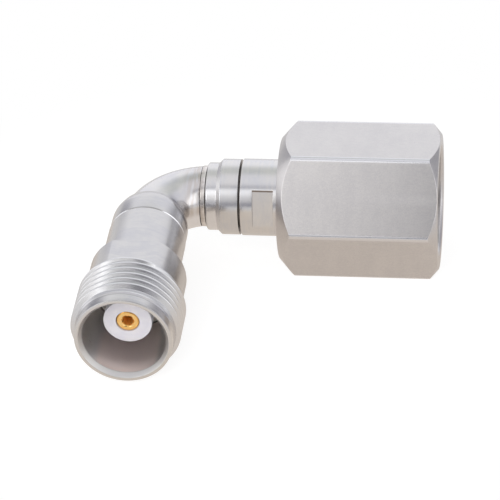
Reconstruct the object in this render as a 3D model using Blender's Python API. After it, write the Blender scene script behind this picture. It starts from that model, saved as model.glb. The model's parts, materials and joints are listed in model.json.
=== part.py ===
"""Swept right-angle coax adapter, threaded jack to plug with a hexagonal coupling nut.

Metres, +Z up. The origin is the middle of the nut's flat that the adapter rests on.
Two axes cross at the elbow's corner: the plug axis runs along +X and carries the tube's
collar, the plug and its nut, and the jack axis runs towards -Y and droops until the
jack's thread touches the surface that the nut's flat rests on.
Every turned piece is a profile of (distance along its axis, radius) points.
"""
import math

import bmesh
import bpy
from mathutils import Matrix, Vector

MM = 0.001

# Facets round the circumference
LARGE_FACETS = 36
MEDIUM_FACETS = 28
SMALL_FACETS = 20
CORE_FACETS = 16
WIRE_FACETS = 10
CHAMFER_FACETS = 72

# Fits between pieces
SEAT_GAP = 0.04
FACE_GAP = 0.04
RUNNING_GAP = 0.10
CUT_SPARE = 1.0
EMPTY_SIZE = 5.0

# Thread of the jack and the nut, drawn as ring ridges of the real pitch and depth
THREAD_MAJOR_RADIUS = 5.55
THREAD_PITCH = 0.907
THREAD_DEPTH = 0.50
THREAD_TURNS = 6
THREAD_CLEARANCE = 0.06
THREAD_ROOT_RADIUS = THREAD_MAJOR_RADIUS - THREAD_DEPTH
THREAD_LENGTH = THREAD_PITCH * THREAD_TURNS

# Bent tube and its core
TUBE_RADIUS = 3.175
TUBE_BORE_RADIUS = 2.34
BEND_RADIUS = 5.75
BEND_STEPS = 9
SPIGOT_WALL = 0.51
SPIGOT_RADIUS = TUBE_BORE_RADIUS + SPIGOT_WALL
SOCKET_RADIUS = SPIGOT_RADIUS + SEAT_GAP
CORE_RADIUS = TUBE_BORE_RADIUS - SEAT_GAP
CORE_BORE_RADIUS = CORE_RADIUS + SEAT_GAP
WIRE_RADIUS = 0.685
WIRE_BORE_RADIUS = WIRE_RADIUS + SEAT_GAP
BEAD_LENGTH = 1.0
BUSHING_LENGTH = 1.5
BUSHING_WALL = 0.5
CUP_DEPTH = 1.4
CUP_WALL = 0.25
CUP_SET_IN = 0.3

# Jack side, distances along the jack axis from the elbow's corner
SLEEVE_START = 4.75
SLEEVE_LENGTH = 3.66
SLEEVE_RADIUS = 4.0
SLEEVE_MOUTH_RADIUS = 3.6
SLEEVE_TAPER = 1.15
SLEEVE_NECK_WALL = 0.41
SLEEVE_NECK_LENGTH = 1.6
SLEEVE_TUBE_DEPTH = 4.65
SEAM_GAP = 0.06
BARREL_RADIUS = 4.04
BARREL_LENGTH = 6.69
BARREL_CHAMFER = 0.12
FLANGE_LENGTH = 4.4
FLANGE_STEP = 0.09
FLANGE_CHAMFER = 0.12
LIP_LENGTH = 1.4
LIP_STEP = 0.11
LIP_EDGE = 0.10
JACK_WALL = 0.98
JACK_BORE_DEPTH = 8.5
JACK_BORE_FLOOR = 1.0
FLAT_WALL = 0.33
MOUTH_FLARE = 0.13
MOUTH_DEPTH = 5.0
MOUTH_CHAMFER = 0.52
MOUTH_BEVEL = 0.36
JACK_DISC_SHORT = 3.3
JACK_DISC_RADIUS = 2.46
JACK_ROD_RADIUS = 2.9
CONTACT_RADIUS = 1.165
CONTACT_HOLE_RADIUS = 0.60
CONTACT_HOLE_DEPTH = 4.0
CONTACT_COUNTERSINK = 0.18
CONTACT_SET_BACK = 0.03
CONTACT_SLOTS = 6
CONTACT_SLOT_WIDTH = 0.34
CONTACT_SLOT_DEPTH = 0.09
SLEEVE_END = SLEEVE_START + SLEEVE_LENGTH
SLEEVE_NECK_RADIUS = SOCKET_RADIUS + SLEEVE_NECK_WALL
SLEEVE_NECK_END = SLEEVE_END + SLEEVE_NECK_LENGTH
JACK_TUBE_END = SLEEVE_START + SLEEVE_TUBE_DEPTH
BARREL_START = SLEEVE_END + SEAM_GAP
FLANGE_START = BARREL_START + BARREL_LENGTH
THREAD_START = FLANGE_START + FLANGE_LENGTH
THREAD_END = THREAD_START + THREAD_LENGTH
JACK_LENGTH = THREAD_END + LIP_LENGTH
FLANGE_RADIUS = THREAD_ROOT_RADIUS - FLANGE_STEP
LIP_RADIUS = THREAD_ROOT_RADIUS - LIP_STEP
JACK_BORE_RADIUS = THREAD_ROOT_RADIUS - JACK_WALL
JACK_BORE_END = JACK_LENGTH - JACK_BORE_DEPTH
JACK_FLAT_HEIGHT = JACK_BORE_RADIUS + FLAT_WALL
MOUTH_RADIUS = JACK_BORE_RADIUS + MOUTH_FLARE
MOUTH_FACE_RADIUS = MOUTH_RADIUS + MOUTH_BEVEL
JACK_FACE = JACK_LENGTH - JACK_DISC_SHORT
JACK_BEAD_START = SLEEVE_NECK_END + 2 * FACE_GAP
JACK_BUSHING_START = JACK_BEAD_START + BEAD_LENGTH + FACE_GAP
JACK_ROD_START = JACK_BUSHING_START + BUSHING_LENGTH + FACE_GAP
CONTACT_REAR = JACK_BUSHING_START + CUP_SET_IN

# Plug side, distances along +X from the elbow's corner
RING_X = 4.85
RING_LENGTH = 0.58
RING_WALL = 0.33
COLLAR_STEP_RADIUS = 3.58
COLLAR_STEP_LENGTH = 1.15
COLLAR_RADIUS = 4.0
COLLAR_LENGTH = 2.33
COLLAR_CHAMFER = 0.30
COLLAR_SOCKET_DEPTH = 3.0
NECK_WALL = 0.86
NECK_LENGTH = 1.4
GROOVE_WIDTH = 0.24
BODY_RADIUS = 4.06
BODY_LENGTH = 4.06
BODY_CHAMFER = 0.12
JOURNAL_CLEARANCE = 0.25
JOURNAL_SET_IN = 0.35
JOURNAL_LENGTH = 5.9
JOURNAL_CHAMFER = 0.2
RING_GROOVE_PLACE = 2.3
RING_GROOVE_WIDTH = 1.0
RING_GROOVE_DEPTH = 0.6
BODY_WALL = 0.61
POCKET_PLACE = 1.30
POCKET_LENGTH = 2.18
POCKET_DEPTH = 0.56
POCKET_TURN = 81.8
CONTACT_CLEARANCE = 0.07
PLUG_SLEEVE_WALL = 0.7
PLUG_SLEEVE_LENGTH = 8.8
PLUG_SLEEVE_BASE_LENGTH = 4.4
PLUG_SLEEVE_BASE_WALL = 0.85
PLUG_SLOT_WIDTH = 0.35
PLUG_SLOT_LENGTH = 6.4
PLUG_SLOTS = 4
GASKET_THICKNESS = 0.85
PIN_RADIUS = 0.685
PIN_TIP_SHORT = 1.1
PIN_TAPER = 1.37
PIN_NOSE = 0.34
PIN_TIP_RADIUS = 0.17
PIN_SHANK_WALL = 0.415
INSULATOR_FACE_SHORT = 5.0
SKIRT_LENGTH = 3.6
SKIRT_WALL = 0.6
RING_RADIUS = SOCKET_RADIUS + RING_WALL
COLLAR_X = RING_X + RING_LENGTH + FACE_GAP
COLLAR_END_X = COLLAR_X + COLLAR_STEP_LENGTH + COLLAR_LENGTH
NECK_RADIUS = CORE_BORE_RADIUS + NECK_WALL
NECK_END_X = COLLAR_END_X + NECK_LENGTH
CORE_END_X = NECK_END_X - FACE_GAP
BODY_X = COLLAR_END_X + GROOVE_WIDTH
POCKET_X = BODY_X + POCKET_PLACE
NUT_REAR_X = BODY_X + BODY_LENGTH
JOURNAL_X = NUT_REAR_X + JOURNAL_SET_IN
JOURNAL_RADIUS = THREAD_ROOT_RADIUS - JOURNAL_CLEARANCE
RING_GROOVE_X = JOURNAL_X + RING_GROOVE_PLACE
RING_GROOVE_END_X = RING_GROOVE_X + RING_GROOVE_WIDTH
RING_GROOVE_RADIUS = JOURNAL_RADIUS - RING_GROOVE_DEPTH
BODY_FRONT_X = JOURNAL_X + JOURNAL_LENGTH
BODY_BORE_RADIUS = RING_GROOVE_RADIUS - BODY_WALL
PLUG_SLEEVE_BASE_RADIUS = BODY_BORE_RADIUS - SEAT_GAP
PLUG_SLEEVE_BASE_BORE = PLUG_SLEEVE_BASE_RADIUS - PLUG_SLEEVE_BASE_WALL
PLUG_SLEEVE_RADIUS = JACK_BORE_RADIUS - CONTACT_CLEARANCE
PLUG_SLEEVE_BORE = PLUG_SLEEVE_RADIUS - PLUG_SLEEVE_WALL
SLEEVE_BASE_X = BODY_FRONT_X - PLUG_SLEEVE_BASE_LENGTH
PLUG_TIP_X = BODY_FRONT_X + PLUG_SLEEVE_LENGTH
PIN_TIP_X = PLUG_TIP_X - PIN_TIP_SHORT
PIN_SHANK_RADIUS = PIN_RADIUS + PIN_SHANK_WALL
INSULATOR_FACE_X = PLUG_TIP_X - INSULATOR_FACE_SHORT
PLUG_BEAD_X = NECK_END_X + 2 * FACE_GAP
PLUG_BUSHING_X = PLUG_BEAD_X + BEAD_LENGTH + FACE_GAP
PLUG_ROD_X = PLUG_BUSHING_X + BUSHING_LENGTH + FACE_GAP
PIN_REAR_X = PLUG_BUSHING_X + CUP_SET_IN

# Coupling nut
NUT_LENGTH = 16.75
NUT_WALL = 1.40
NUT_RELIEF = 0.20
NUT_EDGE_BEVEL = 0.30
NUT_REAR_CORNER_CUT = 1.826
NUT_REAR_CHAMFER = 1.61
NUT_FRONT_CORNER_CUT = 1.156
NUT_FRONT_CHAMFER = 0.98
NUT_MOUTH_DEPTH = 1.0
NUT_MOUTH_CHAMFER = 0.25
NUT_RING_LAND = 0.4
NUT_RING_GROOVE_DEPTH = 0.55
NUT_CAVITY_RADIUS = THREAD_MAJOR_RADIUS + NUT_RELIEF
NUT_APOTHEM = NUT_CAVITY_RADIUS + NUT_WALL
NUT_CORNER = NUT_APOTHEM / math.cos(math.pi / 6)
NUT_BORE_RADIUS = JOURNAL_RADIUS + RUNNING_GAP
NUT_GROOVE_RADIUS = NUT_BORE_RADIUS + NUT_RING_GROOVE_DEPTH
NUT_MIDDLE_X = NUT_REAR_X + NUT_LENGTH / 2

# The jack droops about the nut's axis until its last crest is as low as the nut's flat
LAST_CREST = THREAD_END - THREAD_PITCH / 2
CREST_REACH = math.hypot(LAST_CREST, THREAD_MAJOR_RADIUS)
DROOP = math.asin(NUT_APOTHEM / CREST_REACH) - math.atan2(THREAD_MAJOR_RADIUS, LAST_CREST)


def clear_scene():
    """Removes every object that the file opened with."""
    for thing in list(bpy.data.objects):
        bpy.data.objects.remove(thing, do_unlink=True)


def material(name, colour, roughness, metallic):
    """Makes a Principled material of one finish."""
    made = bpy.data.materials.new(name)
    made.use_nodes = True
    shader = made.node_tree.nodes["Principled BSDF"]
    shader.inputs["Base Color"].default_value = (*colour, 1.0)
    shader.inputs["Roughness"].default_value = roughness
    shader.inputs["Metallic"].default_value = metallic
    return made


def axis_empty(name, matrix):
    """An empty whose local Z is the axis that its pieces are turned about."""
    empty = bpy.data.objects.new(name, None)
    empty.empty_display_size = EMPTY_SIZE * MM
    empty.matrix_world = matrix
    bpy.context.scene.collection.objects.link(empty)
    return empty


def finish(name, mesh_data, parent, finish_material, smooth_angle=30):
    """Turns a bmesh into a named object on its axis, shaded smooth between sharp edges."""
    bmesh.ops.recalc_face_normals(mesh_data, faces=mesh_data.faces)
    mesh = bpy.data.meshes.new(name)
    mesh_data.to_mesh(mesh)
    mesh_data.free()
    mesh.shade_smooth()
    mesh.set_sharp_from_angle(angle=math.radians(smooth_angle))
    thing = bpy.data.objects.new(name, mesh)
    bpy.context.scene.collection.objects.link(thing)
    thing.parent = parent
    if finish_material:
        mesh.materials.append(finish_material)
    return thing


def turned_mesh(profile, facets):
    """Spins a closed profile of (along, radius) points, in millimetres, about local Z."""
    shape = bmesh.new()
    points = [shape.verts.new((radius * MM, 0.0, along * MM)) for along, radius in profile]
    edges = [shape.edges.new((points[i - 1], points[i])) for i in range(len(points))]
    bmesh.ops.spin(shape, geom=points + edges, axis=(0, 0, 1), cent=(0, 0, 0),
                   angle=math.tau, steps=facets, use_merge=True)
    bmesh.ops.remove_doubles(shape, verts=shape.verts, dist=1e-7)
    loose = [edge for edge in shape.edges if not edge.link_faces]
    bmesh.ops.delete(shape, geom=loose, context="EDGES")
    return shape


def turned(name, profile, facets, parent, finish_material):
    """A lathe-turned piece."""
    return finish(name, turned_mesh(profile, facets), parent, finish_material)


def tube_profile(start, end, outer, inner):
    """Profile of a plain ring or bush."""
    return [(start, outer), (end, outer), (end, inner), (start, inner)]


def box_mesh(low, high):
    """A box between two corners in millimetres."""
    shape = bmesh.new()
    bmesh.ops.create_cube(shape, size=1.0)
    middle = [(a + b) / 2 * MM for a, b in zip(low, high)]
    lengths = [(b - a) * MM for a, b in zip(low, high)]
    bmesh.ops.scale(shape, vec=lengths, verts=shape.verts)
    bmesh.ops.translate(shape, vec=middle, verts=shape.verts)
    return shape


def cutter(name, mesh_data, parent):
    """A tool body that is only there to cut another piece."""
    thing = finish(name, mesh_data, parent, None)
    thing.hide_render = True
    thing.display_type = "WIRE"
    return thing


def cut(piece, tool, operation="DIFFERENCE"):
    """Adds an exact Boolean to a piece."""
    modifier = piece.modifiers.new(tool.name, "BOOLEAN")
    modifier.object = tool
    modifier.operation = operation
    modifier.solver = "EXACT"


def spread(shape, count):
    """Copies a mesh round local Z so that count copies stand evenly."""
    first = list(shape.verts) + list(shape.edges) + list(shape.faces)
    for index in range(1, count):
        made = bmesh.ops.duplicate(shape, geom=first)
        verts = [item for item in made["geom"] if isinstance(item, bmesh.types.BMVert)]
        turn = Matrix.Rotation(math.tau * index / count, 3, "Z")
        bmesh.ops.rotate(shape, verts=verts, cent=(0, 0, 0), matrix=turn)
    return shape


def ridges(start, turns, root, crest):
    """Points of ring ridges, one for each turn of the thread, from start onwards."""
    points = []
    for turn in range(turns):
        points.append((start + turn * THREAD_PITCH, root))
        points.append((start + (turn + 0.5) * THREAD_PITCH, crest))
    points.append((start + turns * THREAD_PITCH, root))
    return points


def elbow_route(jack_end, plug_end):
    """Centre line from the jack's side round the bend to the plug's side, with its directions."""
    jack_way = Vector((0, -math.cos(DROOP), -math.sin(DROOP)))
    plug_way = Vector((1, 0, 0))
    stations = [(jack_way * jack_end, -jack_way)]
    centre = (jack_way + plug_way) * BEND_RADIUS
    for step in range(BEND_STEPS + 1):
        angle = math.pi / 2 * step / BEND_STEPS
        place = centre - (plug_way * math.cos(angle) + jack_way * math.sin(angle)) * BEND_RADIUS
        stations.append((place, plug_way * math.sin(angle) - jack_way * math.cos(angle)))
    stations.append((plug_way * plug_end, plug_way))
    return stations


def swept_mesh(stations, radii, facets):
    """Sweeps one circle, or a ring of two, along the elbow's route and closes both ends."""
    shape = bmesh.new()
    side = Vector((0, -math.cos(DROOP), -math.sin(DROOP))).cross(Vector((1, 0, 0)))
    walls = []
    for radius in radii:
        rings = []
        for place, way in stations:
            across = way.cross(side)
            ring = []
            for step in range(facets):
                angle = math.tau * step / facets
                spot = place + (side * math.cos(angle) + across * math.sin(angle)) * radius
                ring.append(shape.verts.new(spot * MM))
            rings.append(ring)
        for first, second in zip(rings, rings[1:]):
            for step in range(facets):
                after = (step + 1) % facets
                shape.faces.new((first[step], first[after], second[after], second[step]))
        walls.append(rings)
    for end in (0, -1):
        if len(radii) == 1:
            shape.faces.new(walls[0][end])
            continue
        outer, inner = walls[0][end], walls[1][end]
        for step in range(facets):
            after = (step + 1) % facets
            shape.faces.new((outer[step], outer[after], inner[after], inner[step]))
    return shape


def make_jack_body(jack_axis, steel):
    """Barrel, flange with two wrench flats, thread, lip and the open bore, turned in one piece."""
    socket = SLEEVE_NECK_RADIUS + SEAT_GAP
    socket_end = SLEEVE_NECK_END + FACE_GAP
    rod_bore = JACK_ROD_RADIUS + SEAT_GAP
    disc_bore = JACK_DISC_RADIUS + SEAT_GAP
    floor = JACK_BORE_END - JACK_BORE_FLOOR
    profile = [
        (BARREL_START, BARREL_RADIUS - BARREL_CHAMFER),
        (BARREL_START + BARREL_CHAMFER, BARREL_RADIUS),
        (FLANGE_START, BARREL_RADIUS),
        (FLANGE_START, FLANGE_RADIUS - FLANGE_CHAMFER),
        (FLANGE_START + FLANGE_CHAMFER, FLANGE_RADIUS),
        (THREAD_START - FLANGE_CHAMFER, FLANGE_RADIUS),
    ]
    profile += ridges(THREAD_START, THREAD_TURNS, THREAD_ROOT_RADIUS, THREAD_MAJOR_RADIUS)
    profile += [
        (THREAD_END + THREAD_DEPTH / 2, LIP_RADIUS),
        (JACK_LENGTH - LIP_EDGE, LIP_RADIUS),
        (JACK_LENGTH, LIP_RADIUS - LIP_EDGE),
        (JACK_LENGTH, MOUTH_FACE_RADIUS),
        (JACK_LENGTH - MOUTH_CHAMFER, MOUTH_RADIUS),
        (JACK_LENGTH - MOUTH_DEPTH, MOUTH_RADIUS),
        (JACK_LENGTH - MOUTH_DEPTH - MOUTH_CHAMFER, JACK_BORE_RADIUS),
        (JACK_BORE_END, JACK_BORE_RADIUS),
        (JACK_BORE_END, disc_bore),
        (floor, disc_bore),
        (floor, rod_bore),
        (socket_end, rod_bore),
        (socket_end, socket),
        (BARREL_START, socket),
    ]
    body = turned("jack_body", profile, LARGE_FACETS, jack_axis, steel)
    reach = FLANGE_RADIUS + CUT_SPARE
    flats = box_mesh((-reach, JACK_FLAT_HEIGHT, FLANGE_START - CUT_SPARE), (reach, reach, THREAD_START))
    cut(body, cutter("jack_flat_cutter", spread(flats, 2), jack_axis))
    return body


def make_jack_inside(jack_axis, white, gold, steel):
    """Insulator, socket contact, bead and the bushing that holds them from behind."""
    step = JACK_BORE_END - JACK_BORE_FLOOR - FACE_GAP
    contact_bore = CONTACT_RADIUS + SEAT_GAP
    turned("jack_insulator", [
        (JACK_ROD_START, JACK_ROD_RADIUS),
        (step, JACK_ROD_RADIUS),
        (step, JACK_DISC_RADIUS),
        (JACK_FACE, JACK_DISC_RADIUS),
        (JACK_FACE, contact_bore),
        (JACK_ROD_START, contact_bore),
    ], MEDIUM_FACETS, jack_axis, white)
    face = JACK_FACE - CONTACT_SET_BACK
    contact = turned("jack_contact", [
        (CONTACT_REAR, WIRE_BORE_RADIUS),
        (CONTACT_REAR, WIRE_BORE_RADIUS + CUP_WALL),
        (CONTACT_REAR + CUP_DEPTH, WIRE_BORE_RADIUS + CUP_WALL),
        (CONTACT_REAR + CUP_DEPTH, CONTACT_RADIUS),
        (face, CONTACT_RADIUS),
        (face, CONTACT_HOLE_RADIUS + CONTACT_COUNTERSINK),
        (face - CONTACT_COUNTERSINK, CONTACT_HOLE_RADIUS),
        (face - CONTACT_HOLE_DEPTH, CONTACT_HOLE_RADIUS),
        (face - CONTACT_HOLE_DEPTH, 0.0),
        (CONTACT_REAR + CUP_DEPTH, 0.0),
        (CONTACT_REAR + CUP_DEPTH, WIRE_BORE_RADIUS),
    ], SMALL_FACETS, jack_axis, gold)
    slot_inner = CONTACT_HOLE_RADIUS - CONTACT_SLOT_DEPTH
    slot_outer = CONTACT_HOLE_RADIUS + CONTACT_SLOT_DEPTH
    slot = box_mesh((slot_inner, -CONTACT_SLOT_WIDTH / 2, face - CONTACT_HOLE_DEPTH / 2),
                    (slot_outer, CONTACT_SLOT_WIDTH / 2, face + CUT_SPARE))
    cut(contact, cutter("contact_slot_cutter", spread(slot, CONTACT_SLOTS), jack_axis))
    bushing = tube_profile(JACK_BUSHING_START, JACK_BUSHING_START + BUSHING_LENGTH,
                           JACK_ROD_RADIUS, JACK_ROD_RADIUS - BUSHING_WALL)
    turned("jack_bushing", bushing, SMALL_FACETS, jack_axis, steel)
    bead = tube_profile(JACK_BEAD_START, JACK_BEAD_START + BEAD_LENGTH, JACK_ROD_RADIUS, WIRE_BORE_RADIUS)
    turned("jack_bead", bead, SMALL_FACETS, jack_axis, white)


def make_jack_sleeve(jack_axis, steel):
    """Tapered sleeve that the bent tube is soldered into, with a neck that enters the barrel."""
    turned("jack_sleeve", [
        (SLEEVE_START, SLEEVE_MOUTH_RADIUS),
        (SLEEVE_START + SLEEVE_TAPER, SLEEVE_RADIUS),
        (SLEEVE_END - BARREL_CHAMFER, SLEEVE_RADIUS),
        (SLEEVE_END, SLEEVE_RADIUS - BARREL_CHAMFER),
        (SLEEVE_END, SLEEVE_NECK_RADIUS),
        (SLEEVE_NECK_END, SLEEVE_NECK_RADIUS),
        (SLEEVE_NECK_END, CORE_BORE_RADIUS),
        (JACK_TUBE_END + FACE_GAP, CORE_BORE_RADIUS),
        (JACK_TUBE_END + FACE_GAP, SOCKET_RADIUS),
        (SLEEVE_START, SOCKET_RADIUS),
    ], LARGE_FACETS, jack_axis, steel)


def make_elbow(corner, jack_axis, plug_axis, steel, white, copper):
    """Bent tube with a turned-down spigot at each end, its PTFE core and centre conductor."""
    plug_end = COLLAR_X + COLLAR_SOCKET_DEPTH
    route = elbow_route(JACK_TUBE_END, plug_end)
    pipe = swept_mesh(route, (TUBE_RADIUS, TUBE_BORE_RADIUS), MEDIUM_FACETS)
    tube = finish("elbow_tube", pipe, corner, steel)
    wide = TUBE_RADIUS + CUT_SPARE
    jack_shoulder = SLEEVE_START - FACE_GAP
    for name, start, end, axis in (("jack_spigot_cutter", jack_shoulder, JACK_TUBE_END, jack_axis),
                                   ("plug_spigot_cutter", RING_X, plug_end, plug_axis)):
        ring = tube_profile(start, end + CUT_SPARE, wide, SPIGOT_RADIUS)
        cut(tube, cutter(name, turned_mesh(ring, MEDIUM_FACETS), axis))
    core_start = SLEEVE_NECK_END - FACE_GAP
    core_route = elbow_route(core_start, CORE_END_X)
    core = swept_mesh(core_route, (CORE_RADIUS, WIRE_BORE_RADIUS), CORE_FACETS)
    finish("elbow_dielectric", core, corner, white)
    wire_route = elbow_route(CONTACT_REAR + CUP_DEPTH - FACE_GAP, PIN_REAR_X + CUP_DEPTH - FACE_GAP)
    finish("elbow_conductor", swept_mesh(wire_route, (WIRE_RADIUS,), WIRE_FACETS), corner, copper)


def make_plug_collar(plug_axis, steel):
    """Ring at the tube's shoulder and the stepped collar that carries the plug."""
    ring = tube_profile(RING_X + FACE_GAP, RING_X + RING_LENGTH, RING_RADIUS, SOCKET_RADIUS)
    turned("braze_ring", ring, MEDIUM_FACETS, plug_axis, steel)
    step_x = COLLAR_X + COLLAR_STEP_LENGTH
    socket_end = COLLAR_X + COLLAR_SOCKET_DEPTH + FACE_GAP
    turned("plug_collar", [
        (COLLAR_X, COLLAR_STEP_RADIUS - COLLAR_CHAMFER / 2),
        (COLLAR_X + COLLAR_CHAMFER, COLLAR_STEP_RADIUS),
        (step_x, COLLAR_STEP_RADIUS),
        (step_x + COLLAR_RADIUS - COLLAR_STEP_RADIUS, COLLAR_RADIUS),
        (COLLAR_END_X - BODY_CHAMFER, COLLAR_RADIUS),
        (COLLAR_END_X, COLLAR_RADIUS - BODY_CHAMFER),
        (COLLAR_END_X, NECK_RADIUS),
        (NECK_END_X, NECK_RADIUS),
        (NECK_END_X, CORE_BORE_RADIUS),
        (socket_end, CORE_BORE_RADIUS),
        (socket_end, SOCKET_RADIUS),
        (COLLAR_X, SOCKET_RADIUS),
    ], LARGE_FACETS, plug_axis, steel)


def make_plug_body(plug_axis, steel):
    """Rear body with two milled wrench pockets and the journal that the nut turns on."""
    neck_bore = NECK_RADIUS + SEAT_GAP
    body = turned("plug_body", [
        (BODY_X, BODY_RADIUS - BODY_CHAMFER),
        (BODY_X + BODY_CHAMFER, BODY_RADIUS),
        (JOURNAL_X, BODY_RADIUS),
        (JOURNAL_X, JOURNAL_RADIUS - JOURNAL_CHAMFER),
        (JOURNAL_X + JOURNAL_CHAMFER, JOURNAL_RADIUS),
        (RING_GROOVE_X, JOURNAL_RADIUS),
        (RING_GROOVE_X, RING_GROOVE_RADIUS),
        (RING_GROOVE_END_X, RING_GROOVE_RADIUS),
        (RING_GROOVE_END_X, JOURNAL_RADIUS),
        (BODY_FRONT_X - JOURNAL_CHAMFER, JOURNAL_RADIUS),
        (BODY_FRONT_X, JOURNAL_RADIUS - JOURNAL_CHAMFER),
        (BODY_FRONT_X, BODY_BORE_RADIUS),
        (SLEEVE_BASE_X - FACE_GAP, BODY_BORE_RADIUS),
        (SLEEVE_BASE_X - FACE_GAP, PLUG_SLEEVE_BASE_BORE),
        (NECK_END_X + FACE_GAP, PLUG_SLEEVE_BASE_BORE),
        (NECK_END_X + FACE_GAP, neck_bore),
        (BODY_X, neck_bore),
    ], LARGE_FACETS, plug_axis, steel)
    reach = BODY_RADIUS + CUT_SPARE
    pocket_floor = BODY_RADIUS - POCKET_DEPTH
    pocket = box_mesh((pocket_floor, -reach, POCKET_X), (reach, reach, POCKET_X + POCKET_LENGTH))
    tool = cutter("pocket_cutter", spread(pocket, 2), plug_axis)
    tool.rotation_euler = (0, 0, math.radians(POCKET_TURN))
    cut(body, tool)
    return body


def make_plug_inside(plug_axis, white, gold, steel, bright, silicone):
    """Slotted outer contact, insulator with its skirt, pin, bead, bushing, gasket and lock ring."""
    sleeve = turned("plug_sleeve", [
        (SLEEVE_BASE_X, PLUG_SLEEVE_BASE_RADIUS),
        (BODY_FRONT_X + FACE_GAP, PLUG_SLEEVE_BASE_RADIUS),
        (BODY_FRONT_X + FACE_GAP, PLUG_SLEEVE_RADIUS),
        (PLUG_TIP_X - LIP_EDGE, PLUG_SLEEVE_RADIUS),
        (PLUG_TIP_X, PLUG_SLEEVE_RADIUS - LIP_EDGE),
        (PLUG_TIP_X, PLUG_SLEEVE_BORE),
        (BODY_FRONT_X - FACE_GAP, PLUG_SLEEVE_BORE),
        (BODY_FRONT_X - FACE_GAP, PLUG_SLEEVE_BASE_BORE),
        (SLEEVE_BASE_X, PLUG_SLEEVE_BASE_BORE),
    ], MEDIUM_FACETS, plug_axis, bright)
    inner = PLUG_SLEEVE_BORE - CUT_SPARE
    slot = box_mesh((inner, -PLUG_SLOT_WIDTH / 2, PLUG_TIP_X - PLUG_SLOT_LENGTH),
                    (PLUG_SLEEVE_RADIUS + CUT_SPARE, PLUG_SLOT_WIDTH / 2, PLUG_TIP_X + CUT_SPARE))
    tool = cutter("sleeve_slot_cutter", spread(slot, PLUG_SLOTS), plug_axis)
    tool.rotation_euler = (0, 0, math.pi / PLUG_SLOTS)
    cut(sleeve, tool)
    outer = PLUG_SLEEVE_BORE - SEAT_GAP
    rear = PLUG_SLEEVE_BASE_BORE - SEAT_GAP
    pin_bore = PIN_SHANK_RADIUS + SEAT_GAP
    turned("plug_insulator", [
        (PLUG_ROD_X, rear),
        (BODY_FRONT_X, rear),
        (BODY_FRONT_X, outer),
        (INSULATOR_FACE_X + SKIRT_LENGTH, outer),
        (INSULATOR_FACE_X + SKIRT_LENGTH, outer - SKIRT_WALL),
        (INSULATOR_FACE_X, outer - SKIRT_WALL),
        (INSULATOR_FACE_X, pin_bore),
        (PLUG_ROD_X, pin_bore),
    ], MEDIUM_FACETS, plug_axis, white)
    turned("plug_pin", [
        (PIN_REAR_X, WIRE_BORE_RADIUS),
        (PIN_REAR_X, WIRE_BORE_RADIUS + CUP_WALL),
        (PIN_REAR_X + CUP_DEPTH, WIRE_BORE_RADIUS + CUP_WALL),
        (PIN_REAR_X + CUP_DEPTH, PIN_SHANK_RADIUS),
        (INSULATOR_FACE_X, PIN_SHANK_RADIUS),
        (INSULATOR_FACE_X, PIN_RADIUS),
        (PIN_TIP_X - PIN_TAPER, PIN_RADIUS),
        (PIN_TIP_X - PIN_NOSE, (PIN_RADIUS + PIN_TIP_RADIUS) / 2),
        (PIN_TIP_X, PIN_TIP_RADIUS),
        (PIN_TIP_X, 0.0),
        (PIN_REAR_X + CUP_DEPTH, 0.0),
        (PIN_REAR_X + CUP_DEPTH, WIRE_BORE_RADIUS),
    ], SMALL_FACETS, plug_axis, gold)
    bead = tube_profile(PLUG_BEAD_X, PLUG_BEAD_X + BEAD_LENGTH, rear, WIRE_BORE_RADIUS)
    turned("plug_bead", bead, SMALL_FACETS, plug_axis, white)
    bushing = tube_profile(PLUG_BUSHING_X, PLUG_BUSHING_X + BUSHING_LENGTH, rear, rear - BUSHING_WALL)
    turned("plug_bushing", bushing, SMALL_FACETS, plug_axis, steel)
    gasket_x = BODY_FRONT_X + FACE_GAP
    gasket = tube_profile(gasket_x, gasket_x + GASKET_THICKNESS, JOURNAL_RADIUS,
                          PLUG_SLEEVE_RADIUS + SEAT_GAP)
    turned("face_gasket", gasket, MEDIUM_FACETS, plug_axis, silicone)
    ring_outer = NUT_GROOVE_RADIUS - RUNNING_GAP
    hoop = tube_profile(RING_GROOVE_X + SEAT_GAP, RING_GROOVE_END_X - SEAT_GAP, ring_outer,
                        RING_GROOVE_RADIUS + SEAT_GAP)
    ring = turned("lock_ring", hoop, MEDIUM_FACETS, plug_axis, bright)
    gap = box_mesh((0, -RING_GROOVE_WIDTH / 2, RING_GROOVE_X - CUT_SPARE),
                   (ring_outer + CUT_SPARE, RING_GROOVE_WIDTH / 2, RING_GROOVE_END_X + CUT_SPARE))
    cut(ring, cutter("ring_gap_cutter", gap, plug_axis))


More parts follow.
